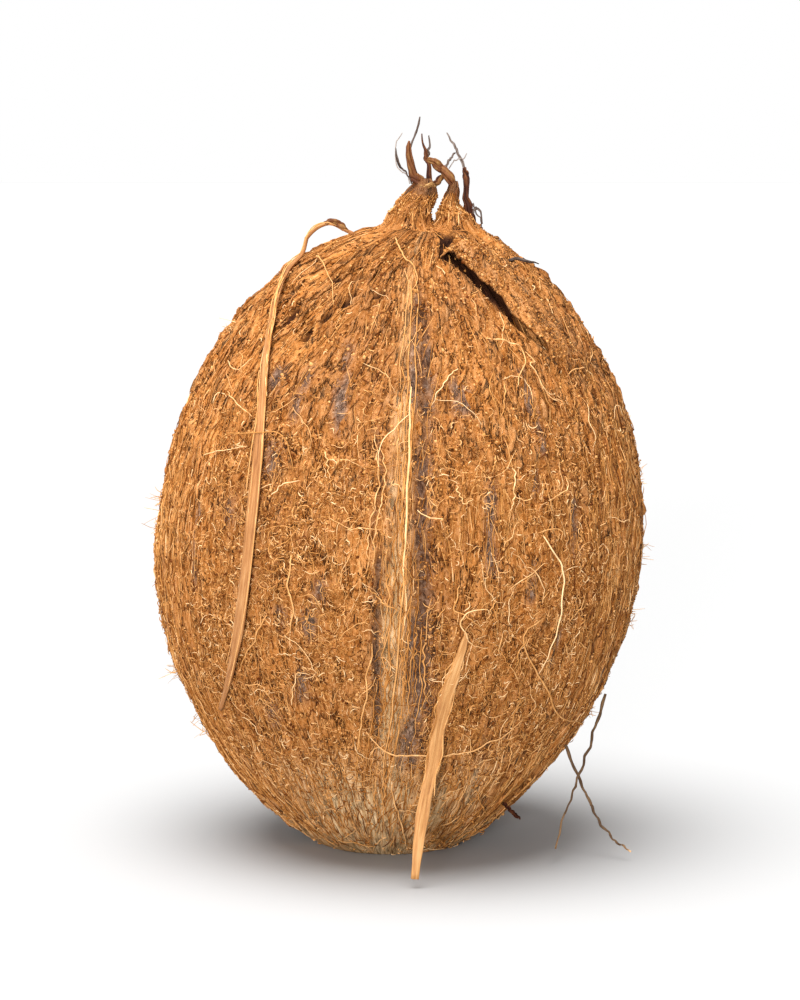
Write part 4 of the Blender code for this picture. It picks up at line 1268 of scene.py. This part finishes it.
# %% Lobe shape
TUFT_LOBES = {
    "tuft_lobe_left": [
        (3.0, -0.6, 136.0, 7.4), (3.1, -0.6, 140.9, 5.7), (4.4, -0.5, 143.1, 4.8), (5.6, -0.3, 145.7, 4.2),
        (6.7, -0.2, 148.0, 3.7), (7.5, -0.1, 149.6, 2.9), (7.9, 0.0, 150.8, 2.0), (8.1, 0.0, 151.6, 1.2),
    ],
    "tuft_lobe_right": [
        (15.2, 0.8, 136.0, 7.4), (15.2, 0.8, 141.0, 6.2), (15.3, 0.8, 142.5, 5.1), (14.3, 0.6, 144.0, 3.3),
        (13.6, 0.4, 145.6, 2.1), (13.9, 0.3, 147.6, 1.5), (14.4, 0.2, 149.8, 1.2), (14.5, 0.2, 151.0, 0.8),
    ],
    "tuft_lobe_back": [
        (5.4, 5.4, 136.0, 7.2), (5.4, 5.0, 141.0, 5.0), (5.6, 4.4, 144.2, 3.2), (6.0, 3.6, 147.0, 1.9),
        (6.6, 3.0, 148.8, 1.0),
    ],
}


def climb_of_radius(reach):
    """Climb on the shoulder where the outline has a given radius."""
    side = (CLIMB > climb_at(110.0)) & (CLIMB < TOP_CLIMB)
    return np.interp(reach, RADIUS[side][::-1], CLIMB[side][::-1])


def lobe_surface(knots, angle, share, lift):
    """Fluted tube through the knots at a share of its length; its foot blends to the husk below 0.36."""
    route = smooth_curve(knots, 200)
    at = share * (len(route) - 1)
    centre = np.stack([np.interp(at, np.arange(len(route)), route[:, axis]) for axis in range(4)], axis=-1)
    flutes = 1.0 + 0.09 * np.cos(5.0 * angle + 9.0 * share) + 0.05 * np.cos(11.0 * angle - 14.0 * share + 1.0)
    radius = centre[..., 3] * flutes + lift
    free = centre[..., :3] + np.stack([radius * np.cos(angle), radius * np.sin(angle), 0 * radius], axis=-1)
    foot_radius = (0.95 + 1.0 * (1.0 - ease(0.0, 0.4, share))) * centre[..., 3] * (1.0 + 0.06 * np.cos(7.0 * angle))
    axis_x = float(axis_shift(np.array(140.0)))
    x = centre[..., 0] + foot_radius * np.cos(angle) - axis_x
    y = centre[..., 1] + foot_radius * np.sin(angle)
    on_nut = husk_point(np.arctan2(x, -y), climb_of_radius(np.hypot(x, y)), lift - 0.9 + 0.65 * ease(0.0, 0.12, share))
    hold = (1.0 - ease(0.06, 0.36, share))[..., None]
    return hold * on_nut + (1.0 - hold) * free


def make_lobe(name, knots, seed, sides=48, rings=46):
    """Closed lobe: rings of the lobe's surface with fine cords along it, a cap at each end."""
    angle, share = np.meshgrid((np.arange(sides) + 0.5) * 2 * np.pi / sides, np.linspace(0.0, 1.0, rings))
    cords = 0.22 * noise(angle, 14.0 * share, 26, 3.0, seed) + 0.14 * noise(angle, 30.0 * share, 44, 2.0, seed + 1)
    points = lobe_surface(knots, angle, share, cords * (1.0 - 0.5 * share))
    quads, start, end = tube_faces(1, rings, sides)
    quads = quads[:, ::-1]
    grain = np.stack([8.0 * np.sin(angle), 8.0 * np.cos(angle), 18.0 * share], axis=-1).reshape(-1, 3)
    low = 0.0 * share.ravel()
    # The top of each lobe is darker, through the same value.
    make_piece(name, points.reshape(-1, 3), [quads, start[:, ::-1], end[:, ::-1]], COIR_FELT, "coir_husk",
               [part[:, ::-1] for part in tube_cells(1, rings, sides)], grain=grain, matted=low + 0.8,
               pale=low, shell=0.4 * ease(0.66, 0.8, share.ravel()),
               gap=0.35 * ease(0.6, 0.82, share.ravel()))
    sow_on(name + "_crumbs", points[3:34].reshape(-1, 3), 900, seed + 2, tone=0.42)


for number, (name, knots) in enumerate(TUFT_LOBES.items()):
    make_lobe(name, knots, 60 + 3 * number)

# %% [markdown]
# ### Strands of the tuft
# Above the lobes the fibre bundles are bare: dark red-brown and olive, shrunk and twisted as they dried. Each
# is a twisted bundle of seven lumpy fibres, and finer ones split off its tip.

# %% Strand finish and maker
GREY_WISP = coir_fibre("weathered_grey_wisp", [
    (0.0, "#33261f"), (0.35, "#5f5048"), (0.7, "#8f8178"), (1.0, "#b9aca2"),
], roughness=0.65)
DARK_STRAND = coir_fibre("dried_dark_husk_strand", [
    (0.0, "#22100a"), (0.3, "#452317"), (0.6, "#714527"), (0.85, "#8f6a3c"), (1.0, "#b58c5a"),
], roughness=0.6)


def make_strand(name, knots, tone, seed, fibres=7, sides=7, rings=44, kink=0.22, material=DARK_STRAND):
    """Twisted bundle: a core and fibres round it at 0.62 radius, angle = start + twist s, kinked by seeded noise."""
    rng = np.random.default_rng(seed)
    route = smooth_curve(knots, rings)
    s = np.linspace(0.0, 1.0, rings)
    kinks = smooth_curve(rng.normal(0.0, kink, (rings // 4, 3)), rings) * np.sin(np.pi * s)[:, None] ** 0.5
    middle = route[:, :3] + kinks
    side, up = frames_along(middle, np.broadcast_to(np.array([0.0, -1.0, 0.1]), middle.shape))
    start = np.arange(fibres)[:, None] * 2 * np.pi / (fibres - 1) + rng.normal(0, 0.25, (fibres, 1))
    angle = start + rng.uniform(2.5, 5.5) * s[None]
    lumps = np.stack([smooth_curve(rng.uniform(-1, 1, (rings // 3, 2)), rings)[:, 0] for _ in range(fibres)])
    apart = (0.62 + 0.16 * lumps) * route[None, :, 3] * (np.arange(fibres) > 0)[:, None]
    paths = middle[None] + (apart * np.cos(angle))[..., None] * side[None] + (apart * np.sin(angle))[..., None] * up[None]
    thick = np.where(np.arange(fibres) > 0, 0.4, 0.7)[:, None]
    radius = np.maximum(thick * route[None, :, 3] * (1.0 + 0.3 * lumps[::-1]), 0.07) * taper(rings, 0.6)
    tones = np.clip(tone + rng.normal(0.0, 0.13, (fibres, 1)) + 0.14 * lumps, 0, 1)
    outward = np.broadcast_to(np.array([0.0, -1.0, 0.1]), paths.shape)
    return make_tubes(name, paths, outward, radius, material, "coir_husk", sides=sides, tone=tones)


# Name: tone and (x, y, z, radius) in mm, root first.
STRANDS = {
    "strand_left": (0.5, [(8.0, 0.0, 147.6, 1.9), (6.9, -0.2, 150.4, 1.5), (5.2, -0.4, 153.0, 1.05),
                          (4.5, -0.4, 156.0, 0.85), (4.3, -0.4, 158.4, 0.75), (4.5, -0.4, 160.0, 0.25)]),
    "strand_thin": (0.45, [(9.2, 0.6, 148.2, 0.9), (8.9, 0.8, 151.8, 0.7), (8.9, 0.8, 154.6, 0.55),
                           (8.3, 0.8, 156.4, 0.6), (7.7, 0.8, 158.6, 0.3), (7.3, 0.8, 161.6, 0.15)]),
    "twig_thin": (0.3, [(8.6, 0.8, 156.0, 0.35), (9.0, 0.6, 158.4, 0.28), (8.9, 0.5, 161.2, 0.2)]),
    "strand_arched": (0.6, [(14.2, 0.2, 146.6, 1.35), (14.5, 0.2, 149.6, 1.15), (13.2, 0.3, 152.2, 1.15),
                             (11.2, 0.4, 154.4, 1.0), (9.4, 0.5, 155.6, 0.8), (8.6, 0.5, 156.0, 0.4)]),
    "strand_arched_fork": (0.62, [(12.6, 0.6, 152.6, 0.8), (11.4, 0.8, 151.4, 0.7), (10.0, 0.6, 150.2, 0.7),
                                  (8.8, 0.3, 149.4, 0.7)]),
    "strand_dark": (0.3, [(18.4, 0.6, 139.0, 1.9), (18.0, 0.6, 143.0, 1.35), (17.6, 0.6, 146.4, 0.85),
                          (17.3, 0.6, 149.4, 0.6), (17.4, 0.6, 151.4, 0.8), (16.8, 0.6, 154.0, 0.48)]),
    "twig_dark": (0.45, [(16.9, 0.6, 153.6, 0.42), (15.6, 0.6, 157.0, 0.36), (14.0, 0.6, 159.8, 0.28),
                         (12.9, 0.6, 161.8, 0.2)]),
    "twig_right": (0.35, [(12.6, 0.4, 153.6, 0.3), (13.6, 0.3, 155.8, 0.28), (14.8, 0.4, 157.4, 0.22)]),
    "wisp_tall": (0.4, [(4.5, -0.4, 157.6, 0.32), (5.2, -0.3, 159.8, 0.24), (6.0, -0.3, 162.0, 0.26),
                        (6.6, -0.3, 163.6, 0.3), (6.9, -0.3, 165.4, 0.2)]),
    "wisp_left": (0.3, [(5.0, -0.6, 150.4, 0.22), (4.2, -0.8, 152.4, 0.2), (2.6, -0.8, 154.2, 0.3),
                        (1.7, -0.8, 156.4, 0.35), (1.5, -0.8, 158.4, 0.15)]),
    "wisp_right": (0.25, [(18.6, 0.6, 143.4, 0.35), (19.6, 0.4, 145.0, 0.35), (20.4, 0.2, 144.0, 0.25),
                          (21.0, 0.0, 141.4, 0.2)]),
    "wrap_band": (0.85, [(6.2, -1.4, 149.6, 0.55), (8.2, -2.5, 149.9, 0.6), (10.2, -1.9, 150.3, 0.5)]),
    "wisp_loop": (0.9, [(2.9, -0.4, 161.8, 0.1), (1.6, -0.5, 159.4, 0.12), (1.4, -0.6, 156.2, 0.12),
                        (2.0, -0.6, 153.6, 0.12), (3.9, -0.5, 152.6, 0.12), (4.6, -0.4, 150.4, 0.1)]),
    "loop_bark": (0.6, [(-15.0, -8.1, 141.9, 0.3), (-12.8, -8.2, 142.4, 0.75), (-10.8, -8.1, 141.5, 0.9),
                        (-9.2, -8.0, 140.3, 0.5)]),
    "wisp_fork": (0.7, [(13.4, 0.4, 153.8, 0.12), (14.6, 0.3, 155.6, 0.12), (16.6, 0.3, 156.2, 0.14),
                        (17.4, 0.3, 157.2, 0.1)]),
    "wisp_low": (0.3, [(18.8, 0.5, 146.0, 0.3), (19.5, 0.4, 144.2, 0.2), (20.6, 0.3, 142.2, 0.15),
                       (20.8, 0.2, 139.8, 0.12)]),
    "shoulder_sliver": (0.2, [(22.6, -9.0, 133.8, 0.1), (25.6, -9.2, 134.0, 0.14), (28.0, -9.2, 134.2, 0.42),
                              (31.4, -9.0, 133.6, 0.36), (33.4, -9.0, 133.0, 0.14)]),
    "foot_stub": (0.2, [(25.6, -19.0, 12.4), (27.2, -22.4, 11.6), (29.0, -26.0, 10.6)]),
}

for number, (name, (tone, knots)) in enumerate(STRANDS.items()):
    knots = [(*knot, 0.5)[:4] for knot in knots]
    stout = knots[0][3] > 0.5
    make_strand(name, knots, tone, 70 + number, fibres=7 if stout else 4, kink=0.2 if stout else 0.12,
                material=GREY_WISP if name.startswith(("wisp", "twig", "shoulder")) else DARK_STRAND)


# %% [markdown]
# ### Fibres on the neck
# Fibres run from the shoulders up the lobes. They lie on the same lobe formula, with a small lift.

# %% Neck fibres
def grow_neck_fibres(count, seed):
    """For each lobe, fibres that climb a stretch of it with a slight turn: angle + drift s."""
    rng = np.random.default_rng(seed)
    s = np.linspace(0.0, 1.0, 8)[None, :]
    for name, knots in TUFT_LOBES.items():
        low = rng.uniform(0.1, 0.75, (count, 1))
        share = np.clip(low + rng.uniform(0.1, 0.32, (count, 1)) * s, 0.0, 0.97)
        angle = rng.uniform(0, 2 * np.pi, (count, 1)) + rng.normal(0, 0.16, (count, 1)) * s
        lift = rng.uniform(0.0, 0.2, (count, 1)) * np.sin(np.pi * s) - 0.03
        paths = lobe_surface(knots, angle, share, lift)
        outward = np.stack([np.cos(angle), np.sin(angle), 0 * angle], axis=-1)
        radius = rng.uniform(0.09, 0.2, (count, 1)) * taper(8, 0.4)
        tone = np.clip(rng.normal(0.5, 0.2, (count, 1)) - 0.45 * ease(0.62, 0.9, share), 0, 1)
        make_tubes(name + "_fibres", paths, outward, radius, COIR_FIBRE, "coir_husk", tone=tone)


grow_neck_fibres(100, 80)

# %% [markdown]
# ## Camera and light
# A plain white studio: one long lens a little above the nut, a broad soft light overhead, a key light low in
# front of the nut and a little to the left, and a white floor and world that leave only a soft shadow of contact.

# %% Studio
CAMERA_AIM = (0.0024, 0.0, 0.0786)
CAMERA_DISTANCE, CAMERA_ELEVATION, CAMERA_LENS = 0.8, math.radians(8.0), 126.5


def make_camera():
    """Camera on a sphere round the aim, looking along +Y and a little down."""
    data = bpy.data.cameras.new("camera")
    data.lens, data.sensor_width, data.sensor_fit = CAMERA_LENS, 36.0, "AUTO"
    data.clip_start, data.clip_end = 0.01, 20.0
    camera = bpy.data.objects.new("camera", data)
    reach = Vector((0.0, -math.cos(CAMERA_ELEVATION), math.sin(CAMERA_ELEVATION)))
    camera.location = Vector(CAMERA_AIM) + CAMERA_DISTANCE * reach
    camera.rotation_euler = (-reach).to_track_quat("-Z", "Y").to_euler()
    bpy.context.scene.collection.objects.link(camera)
    bpy.context.scene.camera = camera


def make_sun(name, place, strength, angle):
    """Soft sun that shines from place towards the middle of the nut."""
    data = bpy.data.lights.new(name, "SUN")
    data.energy, data.angle = strength, math.radians(angle)
    light = bpy.data.objects.new(name, data)
    light.location = place
    light.rotation_euler = Vector(place).to_track_quat("Z", "Y").to_euler()
    bpy.context.scene.collection.objects.link(light)


def make_studio():
    """White world, pale floor, a soft light overhead for the contact shadow and a key light on the left."""
    world = bpy.data.worlds.new("studio_world")
    world.use_nodes = True
    world.node_tree.nodes["Background"].inputs["Color"].default_value = (1.0, 1.0, 1.0, 1.0)
    seen = add_node(world.node_tree, "ShaderNodeLightPath", output="Is Camera Ray")
    strength = add_node(world.node_tree, "ShaderNodeMath", {0: seen, 1: 0.5, 2: 0.5}, 0, operation="MULTIPLY_ADD")
    world.node_tree.links.new(strength, world.node_tree.nodes["Background"].inputs["Strength"])
    bpy.context.scene.world = world
    bpy.context.scene.view_settings.view_transform = "Standard"
    material, _, shader = new_material("white_paper_floor", 0.9, 0.0)
    shader.inputs["Base Color"].default_value = (0.42, 0.42, 0.42, 1.0)
    mesh = bpy.data.meshes.new("floor")
    half = 3.0
    mesh.from_pydata([(-half, -half, 0), (half, -half, 0), (half, half, 0), (-half, half, 0)], [], [(0, 1, 2, 3)])
    mesh.materials.append(material)
    floor = bpy.data.objects.new("floor", mesh)
    floor.location.z = cad_box[0][2]
    bpy.context.scene.collection.objects.link(floor)
    make_sun("overhead_light", (-0.14, -0.12, 1.0), 5.9, 50.0)
    make_sun("key_light", (-0.24, -1.2, 0.16), 3.1, 14.0)


make_camera()
make_studio()
